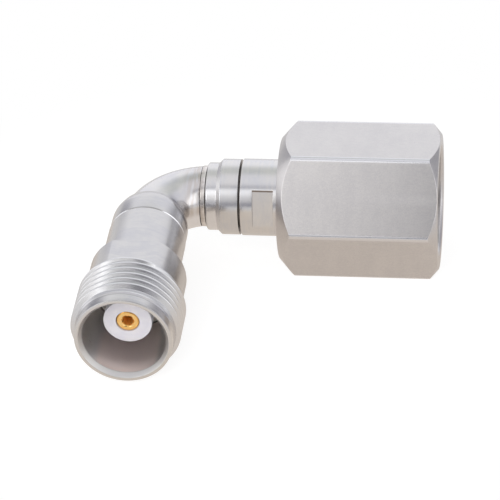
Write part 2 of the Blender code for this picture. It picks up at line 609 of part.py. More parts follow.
def make_nut(nut_axis, steel):
    """Hexagonal coupling nut: a bevelled prism, chamfered at both ends and bored."""
    shape = bmesh.new()
    bmesh.ops.create_cone(shape, cap_ends=True, segments=6, radius1=NUT_CORNER * MM,
                          radius2=NUT_CORNER * MM, depth=NUT_LENGTH * MM)
    bmesh.ops.translate(shape, vec=(0, 0, NUT_LENGTH / 2 * MM), verts=shape.verts)
    long_edges = [edge for edge in shape.edges if not any(face.normal.z for face in edge.link_faces)]
    bmesh.ops.bevel(shape, geom=long_edges, offset=NUT_EDGE_BEVEL * MM, segments=2,
                    affect="EDGES", profile=0.5)
    nut = finish("coupling_nut", shape, nut_axis, steel)
    wide = NUT_CORNER + CUT_SPARE
    rear_slope = NUT_REAR_CHAMFER / NUT_REAR_CORNER_CUT
    front_slope = NUT_FRONT_CHAMFER / NUT_FRONT_CORNER_CUT
    rear_face = NUT_CORNER - NUT_REAR_CORNER_CUT
    front_face = NUT_CORNER - NUT_FRONT_CORNER_CUT
    blank = [
        (-CUT_SPARE, 0.0),
        (-CUT_SPARE, rear_face - CUT_SPARE / rear_slope),
        ((wide - rear_face) * rear_slope, wide),
        (NUT_LENGTH - (wide - front_face) * front_slope, wide),
        (NUT_LENGTH + CUT_SPARE, front_face - CUT_SPARE / front_slope),
        (NUT_LENGTH + CUT_SPARE, 0.0),
    ]
    cut(nut, cutter("nut_chamfer_blank", turned_mesh(blank, CHAMFER_FACETS), nut_axis), "INTERSECT")
    root = THREAD_MAJOR_RADIUS + THREAD_CLEARANCE
    crest = THREAD_ROOT_RADIUS + THREAD_CLEARANCE
    thread_end = NUT_LENGTH - NUT_MOUTH_DEPTH
    thread_start = thread_end - THREAD_LENGTH
    ring_start = RING_GROOVE_X - NUT_REAR_X - RUNNING_GAP
    ring_end = RING_GROOVE_END_X - NUT_REAR_X + RUNNING_GAP
    land_end = ring_end + NUT_RING_LAND
    bore = [
        (-CUT_SPARE, 0.0),
        (-CUT_SPARE, NUT_BORE_RADIUS),
        (ring_start, NUT_BORE_RADIUS),
        (ring_start, NUT_GROOVE_RADIUS),
        (ring_end, NUT_GROOVE_RADIUS),
        (ring_end, NUT_BORE_RADIUS),
        (land_end, NUT_BORE_RADIUS),
        (land_end, NUT_CAVITY_RADIUS),
        (thread_start - THREAD_DEPTH, NUT_CAVITY_RADIUS),
    ]
    bore += ridges(thread_start, THREAD_TURNS, crest, root)
    bore += [
        (thread_end + THREAD_DEPTH, NUT_CAVITY_RADIUS),
        (NUT_LENGTH - NUT_MOUTH_CHAMFER, NUT_CAVITY_RADIUS),
        (NUT_LENGTH + CUT_SPARE, NUT_CAVITY_RADIUS + NUT_MOUTH_CHAMFER + CUT_SPARE),
        (NUT_LENGTH + CUT_SPARE, 0.0),
    ]
    cut(nut, cutter("nut_bore_cutter", turned_mesh(bore, LARGE_FACETS), nut_axis))
    return nut


clear_scene()
STEEL = material("passivated steel", (0.62, 0.61, 0.60), 0.24, 1.0)
NUT_STEEL = material("brushed nut steel", (0.60, 0.58, 0.57), 0.34, 1.0)
BRIGHT = material("nickel plated bronze", (0.70, 0.69, 0.66), 0.20, 1.0)
GOLD = material("gold plating", (0.90, 0.62, 0.22), 0.22, 1.0)
COPPER = material("silvered copper", (0.78, 0.76, 0.72), 0.25, 1.0)
WHITE = material("white PTFE", (0.86, 0.86, 0.90), 0.45, 0.0)
SILICONE = material("silicone rubber", (0.55, 0.16, 0.08), 0.60, 0.0)

CORNER_PLACE = Matrix.Translation((-NUT_MIDDLE_X * MM, 0, NUT_APOTHEM * MM))
LOCAL_Z_TO_X = Matrix.Rotation(math.pi / 2, 4, "Y")
LOCAL_Z_TO_JACK = Matrix.Rotation(math.pi / 2 + DROOP, 4, "X")
CORNER = axis_empty("elbow_corner", CORNER_PLACE)
PLUG_AXIS = axis_empty("plug_axis", CORNER_PLACE @ LOCAL_Z_TO_X)
JACK_AXIS = axis_empty("jack_axis", CORNER_PLACE @ LOCAL_Z_TO_JACK)
NUT_PLACE = CORNER_PLACE @ Matrix.Translation((NUT_REAR_X * MM, 0, 0))
NUT_AXIS = axis_empty("nut_axis", NUT_PLACE @ LOCAL_Z_TO_X)

make_jack_body(JACK_AXIS, STEEL)
make_jack_inside(JACK_AXIS, WHITE, GOLD, STEEL)
make_jack_sleeve(JACK_AXIS, STEEL)
make_elbow(CORNER, JACK_AXIS, PLUG_AXIS, STEEL, WHITE, COPPER)
make_plug_collar(PLUG_AXIS, STEEL)
make_plug_body(PLUG_AXIS, STEEL)
make_plug_inside(PLUG_AXIS, WHITE, GOLD, STEEL, BRIGHT, SILICONE)
make_nut(NUT_AXIS, NUT_STEEL)
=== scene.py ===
"""Looks of the swept right-angle coax adapter, in the order in which it is put together.

Lengths are in millimetres until a mesh is made. The plug's axis and the jack's axis cross at
the elbow's corner, and every turned piece is drawn in the frame of its own axis.
"""
import json
import math

import bmesh
import bpy
from mathutils import Matrix, Vector


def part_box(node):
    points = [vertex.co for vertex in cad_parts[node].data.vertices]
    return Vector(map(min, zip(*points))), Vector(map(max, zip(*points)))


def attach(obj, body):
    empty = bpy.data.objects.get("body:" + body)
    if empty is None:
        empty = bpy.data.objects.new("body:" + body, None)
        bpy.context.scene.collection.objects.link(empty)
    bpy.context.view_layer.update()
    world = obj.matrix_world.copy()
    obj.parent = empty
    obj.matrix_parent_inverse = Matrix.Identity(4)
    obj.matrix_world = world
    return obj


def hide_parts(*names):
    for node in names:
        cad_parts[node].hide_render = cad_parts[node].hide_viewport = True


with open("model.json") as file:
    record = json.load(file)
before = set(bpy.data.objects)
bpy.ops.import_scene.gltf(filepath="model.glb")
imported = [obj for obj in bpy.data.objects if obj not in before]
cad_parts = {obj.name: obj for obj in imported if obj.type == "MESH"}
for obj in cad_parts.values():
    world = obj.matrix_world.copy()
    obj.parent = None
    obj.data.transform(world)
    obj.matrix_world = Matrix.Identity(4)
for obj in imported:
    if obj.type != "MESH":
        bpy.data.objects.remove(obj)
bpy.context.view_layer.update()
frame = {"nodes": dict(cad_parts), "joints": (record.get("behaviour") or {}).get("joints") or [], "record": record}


# Bent tube. Stainless tube of 6.35 mm, bent through a swept right angle and polished. Its ends are
# turned down to spigots, which are soldered into the jack's sleeve and the plug's collar.
MM = 0.001
FIT = 0.04
TUBE_RADIUS = 3.175
TUBE_BORE = 2.34
SPIGOT_RADIUS = 2.85
BEND_RADIUS = 5.75
BEND_STEPS = 40
TUBE_SIDES = 112
SLEEVE_PLACE = 4.75
RING_PLACE = 4.85
TUBE_IN_SLEEVE = 4.65
TUBE_IN_COLLAR = 3.62
WELD = 1e-4
SHARP_ANGLE = 24

nut_joint = frame["joints"][0]
jack_mount = next(m for m in frame["record"]["mounts"] if m["name"] == "jack_face")
jack_way = Vector(jack_mount["axis"]).normalized()
plug_way = Vector((1, 0, 0))
jack_sides = [point.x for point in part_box("jack_body")]
corner = Vector((sum(jack_sides) / 2, 0, nut_joint["pos_m"][2]))
bend_side = jack_way.cross(plug_way)


def bend_point(turn, spread, radius, lead=0.0):
    """A point on the tube's wall: turn goes round the bend, spread round the tube, lead past it."""
    across = jack_way * math.sin(turn) + plug_way * math.cos(turn)
    middle = (jack_way + plug_way) * BEND_RADIUS
    onward = (jack_way if turn == 0 else plug_way) * lead
    return (middle - across * (BEND_RADIUS - radius * math.sin(spread))
            + bend_side * radius * math.cos(spread) + onward)


def tube_rings():
    """Rings of the tube's wall: outside from the sleeve to the ring, then back through the bore."""
    spreads = [math.tau * side / TUBE_SIDES for side in range(TUBE_SIDES)]
    rings = []
    for step in range(BEND_STEPS + 1):
        ring = []
        for spread in spreads:
            reach = BEND_RADIUS - TUBE_RADIUS * math.sin(spread)
            first = math.asin((BEND_RADIUS - SLEEVE_PLACE + FIT) / reach)
            last = math.acos((BEND_RADIUS - RING_PLACE) / reach)
            ring.append(bend_point(first + (last - first) * step / BEND_STEPS, spread, TUBE_RADIUS))
        rings.append(ring)
    plug_lead = RING_PLACE + TUBE_IN_COLLAR - BEND_RADIUS
    jack_lead = SLEEVE_PLACE + TUBE_IN_SLEEVE - BEND_RADIUS
    right = math.pi / 2
    places = [(right, SPIGOT_RADIUS, RING_PLACE - BEND_RADIUS), (right, SPIGOT_RADIUS, plug_lead),
              (right, TUBE_BORE, plug_lead)]
    places += [(right * step / BEND_STEPS, TUBE_BORE, 0.0) for step in range(BEND_STEPS, -1, -1)]
    places += [(0.0, TUBE_BORE, jack_lead), (0.0, SPIGOT_RADIUS, jack_lead),
               (0.0, SPIGOT_RADIUS, SLEEVE_PLACE - FIT - BEND_RADIUS)]
    for turn, radius, lead in places:
        rings.append([bend_point(turn, spread, radius, lead) for spread in spreads])
    return rings


def made_piece(name, shape, place):
    """A closed mesh in millimetres becomes a named object, smooth between its sharp edges."""
    bmesh.ops.remove_doubles(shape, verts=shape.verts, dist=WELD)
    bmesh.ops.dissolve_degenerate(shape, edges=shape.edges, dist=WELD / 10)
    bmesh.ops.recalc_face_normals(shape, faces=shape.faces)
    bmesh.ops.scale(shape, vec=(MM, MM, MM), verts=shape.verts)
    mesh = bpy.data.meshes.new(name)
    shape.to_mesh(mesh)
    shape.free()
    mesh.shade_smooth()
    mesh.set_sharp_from_angle(angle=math.radians(SHARP_ANGLE))
    piece = bpy.data.objects.new(name, mesh)
    bpy.context.scene.collection.objects.link(piece)
    piece.matrix_world = place
    return piece


def wall_between(shape, first, second):
    """Faces between two rows of points that close on themselves."""
    for index in range(len(first)):
        shape.faces.new((first[index - 1], first[index], second[index], second[index - 1]))


def settle(piece, body, slot, finish, *nodes):
    """Gives a piece its finish and its place in the adapter."""
    piece.data.materials.append(finish)
    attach(piece, body)
    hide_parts(*nodes)


class Link:
    """A socket in the node tree of a finish. Sums and products of links add Math nodes."""

    def __init__(self, tree, socket=None):
        self.tree = tree
        self.socket = socket

    def node(self, kind, settings, values, output=0):
        """Adds a node: its settings come first, then the values or links of its sockets."""
        made = self.tree.nodes.new("ShaderNode" + kind)
        for name, value in settings.items():
            if name == "stops":
                for stop in value[len(made.color_ramp.elements):]:
                    made.color_ramp.elements.new(stop[0])
                for element, stop in zip(made.color_ramp.elements, value):
                    element.position = stop[0]
                    element.color = stop[1]
            else:
                setattr(made, name, value)
        for name, value in values.items():
            if isinstance(value, Link):
                self.tree.links.new(value.socket, made.inputs[name])
            else:
                made.inputs[name].default_value = value
        return Link(self.tree, made.outputs[output] if made.outputs else None)

    def maths(self, operation, *values):
        return self.node("Math", {"operation": operation}, dict(enumerate(values)))

    def __add__(self, other):
        return self.maths("ADD", self, other)

    def __sub__(self, other):
        return self.maths("SUBTRACT", self, other)

    def __rsub__(self, other):
        return self.maths("SUBTRACT", other, self)

    def __mul__(self, other):
        return self.maths("MULTIPLY", self, other)

    __radd__ = __add__
    __rmul__ = __mul__

    def step(self, low, high):
        """Rises smoothly from 0 to 1 between two values of this link."""
        return self.node("MapRange", {"interpolation_type": "SMOOTHSTEP"},
                         {"Value": self, "From Min": low, "From Max": high})

    def band(self, low, high, ease):
        """Is 1 between two values of this link, and falls smoothly to 0 beyond them."""
        return self.step(low - ease, low) * (1 - self.step(high, high + ease))

    def between(self, low, high):
        """Mixes two colours by this link."""
        return self.node("Mix", {"data_type": "RGBA"}, {0: self, 6: low, 7: high}, 2)

    def cloud(self, size, detail=2.0, stretch=(1, 1, 1)):
        """Soft noise over the piece, with lumps of a size in millimetres."""
        spot = self.node("TexCoord", {}, {}, "Object")
        scale = [factor / (size * MM) for factor in stretch]
        spot = self.node("VectorMath", {"operation": "MULTIPLY"}, {0: spot, 1: scale})
        return self.node("TexNoise", {}, {"Vector": spot, "Scale": 1.0, "Detail": detail})

    def along(self, axis):
        """Place along an axis of the piece (0, 1 or 2), in millimetres."""
        spot = self.node("TexCoord", {}, {}, "Object")
        return self.node("SeparateXYZ", {}, {0: spot}, axis) * (1 / MM)

    def radius(self):
        """Distance from the piece's own axis, in millimetres."""
        spot = self.node("TexCoord", {}, {}, "Object")
        flat = self.node("VectorMath", {"operation": "MULTIPLY"}, {0: spot, 1: (1, 1, 0)})
        return self.node("VectorMath", {"operation": "LENGTH"}, {0: flat}, "Value") * (1 / MM)

    def dent(self, height, depth):
        """A normal with this height of relief, its depth in millimetres."""
        relief = {"Height": height, "Distance": depth * MM, "Strength": 1.0}
        return self.node("Bump", {}, relief, "Normal")


def new_finish(name):
    """An empty material and a link to start its nodes from."""
    made = bpy.data.materials.new(name)
    made.use_nodes = True
    made.node_tree.nodes.clear()
    return made, Link(made.node_tree)


def coat(start, values):
    """Ends a finish in its Principled shader."""
    shader = start.node("BsdfPrincipled", {}, values)
    start.node("OutputMaterial", {}, {"Surface": shader})


def tube_finish():
    """Polished tube: nearly a mirror, a little wavy from bending, with faint smudges. Its lower
    side is coloured lighter as a painted reflection, and soldering has browned its end."""
    made, start = new_finish("polished_tube")
    smudge = start.cloud(1.6, 3.0)
    wave = start.cloud(2.4, 1.0)
    streaks = start.cloud(0.4, 2.0, (1.0, 0.15, 0.15)).step(0.38, 0.62)
    browned = start.along(0).step(2.7, 4.4) * streaks
    colour = smudge.step(0.35, 0.70).between((0.62, 0.615, 0.635, 1.0), (0.69, 0.675, 0.665, 1.0))
    colour = browned.between(colour, (0.57, 0.53, 0.505, 1.0))
    coat(start, {
        # Painted reflection: the tube's lower side is coloured lighter than its upper side.
        "Base Color": start.along(2).step(-0.9, 0.1).between((0.82, 0.82, 0.84, 1.0), colour),
        "Metallic": 1.0,
        "Roughness": 0.13 + 0.10 * smudge,
        "Normal": start.dent(wave, 0.020),
    })
    return made


tube_shape = bmesh.new()
tube_rows = [[tube_shape.verts.new(point) for point in ring] for ring in tube_rings()]
for one, following in zip(tube_rows, tube_rows[1:] + tube_rows[:1]):
    wall_between(tube_shape, one, following)
bent_tube = made_piece("bent_tube", tube_shape, Matrix.Translation(corner))
settle(bent_tube, "adapter", "steel", tube_finish(), "elbow_tube")


# Core of the tube. A white fluoropolymer core is drawn into the tube before it is bent, round a
# silvered copper wire that joins the jack's contact to the pin. Neither shows once it is soldered.
def ptfe_finish():
    """White fluoropolymer, slightly waxy, turned, with a faint blue cast."""
    made, start = new_finish("white_ptfe")
    mottle = start.cloud(0.9, 3.0)
    colour = mottle.step(0.30, 0.75).between((0.70, 0.70, 0.775, 1.0), (0.765, 0.76, 0.81, 1.0))
    coat(start, {
        "Base Color": colour,
        "Roughness": 0.36 + 0.16 * mottle,
        "Subsurface Weight": 0.15,
        "Subsurface Radius": (1.0, 1.0, 1.0),
        "Subsurface Scale": 0.0004,
        "Normal": start.dent(start.cloud(0.25, 2.0), 0.004),
    })
    return made


def wire_finish():
    """Silvered copper wire with fine drawing marks along it."""
    made, start = new_finish("silvered_wire")
    marks = start.cloud(0.2, 2.0)
    colour = marks.step(0.3, 0.7).between((0.74, 0.72, 0.69, 1.0), (0.82, 0.80, 0.77, 1.0))
    coat(start, {
        "Base Color": colour,
        "Metallic": 1.0,
        "Roughness": 0.20 + 0.12 * marks,
    })
    return made


def dress_node(node, finish):
    """Puts a finish on a CAD piece whose shape stays as it is."""
    piece = frame["nodes"][node]
    piece.data.materials.clear()
    piece.data.materials.append(finish)


white_ptfe = ptfe_finish()
dress_node("elbow_dielectric", white_ptfe)
dress_node("elbow_conductor", wire_finish())


# Jack's sleeve. Turned stainless sleeve that the tube is soldered into. Its mouth tapers to meet
# the tube, and its neck enters the barrel up to a fine seam.
SLEEVE_LENGTH = 3.66
SLEEVE_RADIUS = 4.0
SLEEVE_MOUTH = 3.6
SLEEVE_TAPER = 1.15
SLEEVE_ROUND = 0.5
NECK_WALL = 0.41
NECK_LENGTH = 1.6
SEAM = 0.06
SEAM_BEVEL = 0.09
CRISP = 0.03
FINE = 0.06
HAIR = 1e-5
SIDES = 144
ROUND_SHARES = (0.0, 0.25, 0.5, 0.75, 1.0)
JACK_COOL = (0.525, 0.52, 0.54, 1.0)
JACK_WARM = (0.59, 0.58, 0.575, 1.0)
# Painted at the seam: shade in its gap, a highlight on its bevels and a darker reflection at their top.
SEAM_PAINTED_SHADE = (0.09, 0.075, 0.065, 1.0)
SEAM_PAINTED_HIGHLIGHT = (0.90, 0.90, 0.92, 1.0)
SEAM_TOP_PAINTED_DARK = (0.40, 0.39, 0.38, 1.0)
SEAM_TOP_BAND = (3.65, 9.0)
JACK_UP = (0, 1, 0)
EDGE_EASE = 0.03
ANY = (-90.0, 90.0)
sleeve_end = SLEEVE_PLACE + SLEEVE_LENGTH
neck_end = sleeve_end + NECK_LENGTH
neck_radius = SPIGOT_RADIUS + FIT + NECK_WALL


def lathe_frame(first, way):
    """Frame of the pieces that are turned about one axis through the corner."""
    return Matrix.Translation(corner) @ Matrix((first, way.cross(first), way)).transposed().to_4x4()


def softened(profile):
    """Rounds the corners of a profile of (along, radius, ease) points."""
    points = []
    for index, (along, radius, ease) in enumerate(profile):
        here = Vector((along, radius))
        if not ease:
            points.append(here)
            continue
        before = Vector(profile[index - 1][:2]) - here
        after = Vector(profile[(index + 1) % len(profile)][:2]) - here
        start = here + before.normalized() * min(ease, before.length / 2)
        end = here + after.normalized() * min(ease, after.length / 2)
        for share in ROUND_SHARES:
            points.append(start.lerp(here, share).lerp(here.lerp(end, share), share))
    return points


def columns(profile_at, sides=SIDES, bends=(), jumps=()):
    """Profiles at even angles, at the bends of a form, and on both sides of each of its jumps."""
    angles = [math.tau * side / sides for side in range(sides + 1)] + list(bends)
    found = [(angle, 0, profile_at(angle)) for angle in angles]
    for jump in jumps:
        found.append((jump, 1, profile_at(jump - HAIR)))
        found.append((jump, 2, profile_at(jump + HAIR)))
    found.sort(key=lambda column: column[:2])
    return [(angle, profile) for angle, _, profile in found]


def turned(name, rows, place):
    """Joins the profiles that stand at successive angles round an axis into one closed piece."""
    shape = bmesh.new()
    walls = []
    for angle, profile in rows:
        way = Vector((math.cos(angle), math.sin(angle), 0))
        walls.append([shape.verts.new(way * max(point.y, 0.0) + Vector((0, 0, point.x)))
                      for point in softened(profile)])
    for one, following in zip(walls, walls[1:]):
        wall_between(shape, one, following)
    return made_piece(name, shape, place)


def steel_finish(name, cool, warm, shine, line_depth, up, zones):
    """Turned stainless steel: rings left by the tool and faint smudges. Each zone has its own
    colour and roughness, and is bounded along the axis, away from it and up, in millimetres."""
    made, start = new_finish(name)
    spot = start.node("TexCoord", {}, {}, "Object")
    along, radius = start.along(2), start.radius()
    height = start.node("VectorMath", {"operation": "DOT_PRODUCT"}, {0: spot, 1: up}, "Value")
    height = height * (1 / MM)
    lines = start.node("TexNoise", {"noise_dimensions": "1D"},
                       {"W": along + radius, "Scale": 3.2, "Detail": 3.0})
    smudge = start.cloud(2.2, 3.0)
    specks = start.cloud(0.35, 2.0)
    tone = (smudge * 0.6 + lines * 0.25 + specks * 0.15).step(0.36, 0.64)
    colour = tone.between(cool, warm)
    rough = shine + 0.09 * smudge + 0.06 * lines
    for (first, last), (inner, outer), (low, high), ease, tint, dulling in zones:
        inside = along.band(first, last, EDGE_EASE) * radius.band(inner, outer, EDGE_EASE)
        inside = inside * height.band(low, high, ease)
        colour = inside.between(colour, tint)
        rough = rough + inside * dulling
    coat(start, {
        "Base Color": colour,
        "Metallic": 1.0,
        "Roughness": rough,
        "Anisotropic": 0.5,
        "Normal": start.dent(lines + 0.4 * specks, line_depth),
    })
    return made


plug_axis = lathe_frame(Vector((0, 0, -1)), plug_way)
jack_axis = lathe_frame(plug_way, jack_way)
seam_bevels = (sleeve_end - SEAM_BEVEL, sleeve_end + SEAM + SEAM_BEVEL)
seam_zones = [
    # Painted highlight: the seam's bevels are coloured light all round.
    (seam_bevels, ANY, ANY, EDGE_EASE, SEAM_PAINTED_HIGHLIGHT, 0.06),
    # Painted dark reflection: the top of the seam's bevels is coloured darker.
    (seam_bevels, ANY, SEAM_TOP_BAND, 0.30, SEAM_TOP_PAINTED_DARK, 0.06),
    # Painted shade: the bottom of the seam's gap is coloured nearly black.
    ((sleeve_end + 0.01, sleeve_end + SEAM - 0.01), ANY, ANY, EDGE_EASE, SEAM_PAINTED_SHADE, 0.3),
]
sleeve_steel = steel_finish("jack_sleeve_steel", JACK_COOL, JACK_WARM, 0.14, 0.0014, JACK_UP,
                            seam_zones)
sleeve_profile = [
    (SLEEVE_PLACE, SLEEVE_MOUTH, FINE),
    (SLEEVE_PLACE + SLEEVE_TAPER, SLEEVE_RADIUS, SLEEVE_ROUND),
    (sleeve_end - SEAM_BEVEL, SLEEVE_RADIUS, CRISP),
    (sleeve_end, SLEEVE_RADIUS - SEAM_BEVEL, CRISP),
    (sleeve_end, neck_radius, 0),
    (neck_end, neck_radius, 0),
    (neck_end, TUBE_BORE, 0),
    (SLEEVE_PLACE + TUBE_IN_SLEEVE + FIT, TUBE_BORE, 0),
    (SLEEVE_PLACE + TUBE_IN_SLEEVE + FIT, SPIGOT_RADIUS + FIT, 0),
    (SLEEVE_PLACE, SPIGOT_RADIUS + FIT, 0),
]
sleeve = turned("tube_sleeve", columns(lambda angle: sleeve_profile), jack_axis)
settle(sleeve, "adapter", "steel", sleeve_steel, "jack_sleeve")


# Jack's body. Barrel, collar with two wrench flats, rolled 60 degree thread, plain lip and open
# bore, all turned from one stainless bar. The thread fades out where the tool leaves it.
BARREL_LENGTH = 6.69
BARREL_RADIUS = 4.04
COLLAR_RADIUS = 4.96
COLLAR_LENGTH = 3.98
FLAT_HEIGHT = 4.40
BROKEN = 0.05
PITCH = 0.907
MAJOR_RADIUS = 5.55
THREAD_DEPTH = 0.50
THREAD_ROOT_ROUND = 0.02
THREAD_FIRST = 0.36
THREAD_TURNS = 5.7
THREAD_ZONE = 5.9
FADE_IN = 0.30
FADE_OUT = 0.20
LIP_START = 0.06
LIP_SLOPE_END = 0.27
LIP_SLOPE_ROUND = 0.08
LIP_RADIUS = 4.94
LIP_ROUND = 0.13
JACK_LENGTH = 26.4
BORE_RADIUS = 4.07
BORE_DEPTH = 8.5
BORE_ROUND = 0.15
MOUTH_RADIUS = 4.20
MOUTH_FACE = 4.56
MOUTH_BEVEL = 0.52
MOUTH_DEPTH = 5.0
ROD_RADIUS = 2.9
DISC_RADIUS = 2.46
FLOOR_THICKNESS = 1.0
FLAT_EASE = 0.08
FLAT_REACH = 0.3
EDGE_STEP = 0.012
EDGE_STEPS = 4
THREAD_PAINTED_LIGHT = (0.70, 0.70, 0.71, 1.0)
BORE_PAINTED_LIGHT = (0.80, 0.80, 0.78, 1.0)
BORE_LOW_PAINTED_REFLECTION = (1.00, 0.91, 0.86, 1.0)
BORE_LOW_REFLECTION_TOP = -3.3
BORE_END_PAINTED_SHADE = (0.38, 0.37, 0.355, 1.0)
MATT_BEVEL = (0.67, 0.66, 0.65, 1.0)
LIP_PAINTED_HIGHLIGHT = (0.69, 0.68, 0.67, 1.0)
THREAD_SHAPE = ((-0.36, 0.0), (-0.32, 0.04), (-0.10, 0.92), (-0.05, 1.0),
                (0.05, 1.0), (0.10, 0.92), (0.32, 0.04), (0.36, 0.0))
barrel_start = sleeve_end + SEAM
collar_start = barrel_start + BARREL_LENGTH
thread_low = collar_start + COLLAR_LENGTH
thread_high = thread_low + THREAD_ZONE
root_radius = MAJOR_RADIUS - THREAD_DEPTH
bore_end = JACK_LENGTH - BORE_DEPTH
jack_flats = (math.pi / 2, math.pi * 3 / 2)


def helix(angle, first, turns, root, depth, low, high):
    """Points of a thread where one plane through the axis cuts it, faded out at both ends."""
    points = []
    for turn in range(-1, math.ceil(turns) + 1):
        place = turn + angle / math.tau
        full = min(1.0, max(0.0, place / FADE_IN)) * min(1.0, max(0.0, (turns - place) / FADE_OUT))
        for offset, rise in THREAD_SHAPE:
            along = min(max(first + place * PITCH + offset, low), high)
            points.append((along, root + depth * rise * full, 0))
    return points


def flatted(radius, angle, flats, height):
    """Radius of a round piece where flats at some angles are cut at a height from its axis."""
    for flat in flats:
        lean = math.cos(angle - flat)
        if lean > FLAT_REACH:
            apart = abs(radius - height / lean)
            radius = min(radius, height / lean) - max(0.0, FLAT_EASE - apart) ** 2 / (4 * FLAT_EASE)
    return radius


def flat_edges(radius, flats, height):
    """Angles close to where the flats of a round piece begin and end."""
    half = math.acos(height / radius)
    return [(flat + side * (half + step * EDGE_STEP)) % math.tau
            for flat in flats for side in (-1, 1) for step in range(-EDGE_STEPS, EDGE_STEPS + 1)]


def jack_profile(angle):
    def cut(radius):
        return flatted(radius, angle, jack_flats, FLAT_HEIGHT)

    return [
        (barrel_start, BARREL_RADIUS - SEAM_BEVEL, CRISP),
        (barrel_start + SEAM_BEVEL, BARREL_RADIUS, CRISP),
        (collar_start, BARREL_RADIUS, BROKEN),
        (collar_start, cut(COLLAR_RADIUS), BROKEN),
        (thread_low, cut(COLLAR_RADIUS), CRISP),
        (thread_low, root_radius, THREAD_ROOT_ROUND),
    ] + helix(angle, thread_low + THREAD_FIRST, THREAD_TURNS, root_radius, THREAD_DEPTH,
              thread_low + FINE, thread_high) + [
        (thread_high + LIP_START, root_radius, 0),
        (thread_high + LIP_SLOPE_END, LIP_RADIUS, LIP_SLOPE_ROUND),
        (JACK_LENGTH, LIP_RADIUS, LIP_ROUND),
        (JACK_LENGTH, MOUTH_FACE, FINE),
        (JACK_LENGTH - MOUTH_BEVEL, MOUTH_RADIUS, FINE),
        (JACK_LENGTH - MOUTH_DEPTH, MOUTH_RADIUS, 0),
        (JACK_LENGTH - MOUTH_DEPTH - MOUTH_BEVEL, BORE_RADIUS, 0),
        (bore_end, BORE_RADIUS, BORE_ROUND),
        (bore_end, DISC_RADIUS + FIT, CRISP),
        (bore_end - FLOOR_THICKNESS, DISC_RADIUS + FIT, 0),
        (bore_end - FLOOR_THICKNESS, ROD_RADIUS + FIT, 0),
        (neck_end + FIT, ROD_RADIUS + FIT, 0),
        (neck_end + FIT, neck_radius + FIT, 0),
        (barrel_start, neck_radius + FIT, 0),
    ]


jack_bore = (bore_end + 0.2, JACK_LENGTH - MOUTH_BEVEL)
jack_rim = (MOUTH_FACE + 0.03, LIP_RADIUS)
jack_zones = seam_zones + [
    # Painted light: the thread is coloured lighter than the rest of the body.
    ((thread_low + 0.1, thread_high), (root_radius - 0.1, MAJOR_RADIUS), ANY, EDGE_EASE, THREAD_PAINTED_LIGHT,
     0.02),
    # The bore is rougher, and its wall is coloured lighter as painted light.
    (jack_bore, (0, MOUTH_RADIUS), ANY, EDGE_EASE, BORE_PAINTED_LIGHT, 0.08),
    # Painted reflection: the bottom of the bore is coloured lighter and warmer.
    (jack_bore, (0, MOUTH_RADIUS), (-MOUTH_RADIUS, BORE_LOW_REFLECTION_TOP), 0.8, BORE_LOW_PAINTED_REFLECTION, 0.14),
    ((jack_bore[1], JACK_LENGTH), (MOUTH_RADIUS, MOUTH_FACE), ANY, EDGE_EASE, MATT_BEVEL, 0.22),
    # Painted highlight: a light ring on the lip's front face.
    ((JACK_LENGTH - 0.01, JACK_LENGTH), jack_rim, ANY, EDGE_EASE, LIP_PAINTED_HIGHLIGHT, 0.0),
    # Painted highlight: the lower half of the lip is coloured lighter.
    ((thread_high + 0.2, JACK_LENGTH), jack_rim, (-LIP_RADIUS, 0.5), 1.6, LIP_PAINTED_HIGHLIGHT, 0.0),
    # Painted shade: the end of the bore round the disc is coloured darker.
    ((bore_end - 0.2, bore_end + 0.3), (DISC_RADIUS, BORE_RADIUS), ANY, EDGE_EASE, BORE_END_PAINTED_SHADE, 0.2),
]
jack_steel = steel_finish("jack_steel", JACK_COOL, JACK_WARM, 0.14, 0.0014, JACK_UP, jack_zones)
jack_rows = columns(jack_profile, bends=flat_edges(COLLAR_RADIUS, jack_flats, FLAT_HEIGHT))
jack_barrel = turned("jack_barrel", jack_rows, jack_axis)
settle(jack_barrel, "adapter", "steel", jack_steel, "jack_body")


# Jack's insulator. White fluoropolymer rod turned with a smaller nose, pushed in from behind and
# held by a pressed ring. Its face stands back from the lip.
NOSE_SHORT = 3.3
NOSE_ROUND = 0.08
CONTACT_RADIUS = 1.165
BUSHING_LENGTH = 1.5
BEAD_LENGTH = 1.0
face_place = JACK_LENGTH - NOSE_SHORT
bead_start = neck_end + 2 * FIT
bushing_start = bead_start + BEAD_LENGTH + FIT
rod_start = bushing_start + BUSHING_LENGTH + FIT
insulator_profile = [
    (rod_start, ROD_RADIUS, FINE),
    (bore_end - FLOOR_THICKNESS - FIT, ROD_RADIUS, 0),
    (bore_end - FLOOR_THICKNESS - FIT, DISC_RADIUS, 0),
    (face_place, DISC_RADIUS, NOSE_ROUND),
    (face_place, CONTACT_RADIUS + FIT, CRISP),
    (rod_start, CONTACT_RADIUS + FIT, 0),
]
insulator = turned("jack_rod", columns(lambda angle: insulator_profile), jack_axis)
settle(insulator, "adapter", "ptfe", white_ptfe, "jack_insulator")
dress_node("jack_bead", white_ptfe)
dress_node("jack_bushing", jack_steel)


# Jack's contact. Gold-plated socket, drilled and slit from the front into six fingers, with a
# soldered cup behind. It carries a pin of the same size as the plug's.
HOLE_RADIUS = 0.51
NOTCH_RADIUS = 0.57
NOTCH_HALF = 0.18
NOTCHES = 6
HOLE_DEPTH = 4.0
WIRE_CUP = 0.725
CUP_WALL = 0.25
CUP_DEPTH = 1.4
CUP_SET_IN = 0.3
CONTACT_BACK = 0.03
CONTACT_ROUND = 0.24
LEAD_IN = 0.14
LEAD_IN_DEPTH = 0.16
LEAD_IN_ROUND = 0.10
CONTACT_SIDES = 96


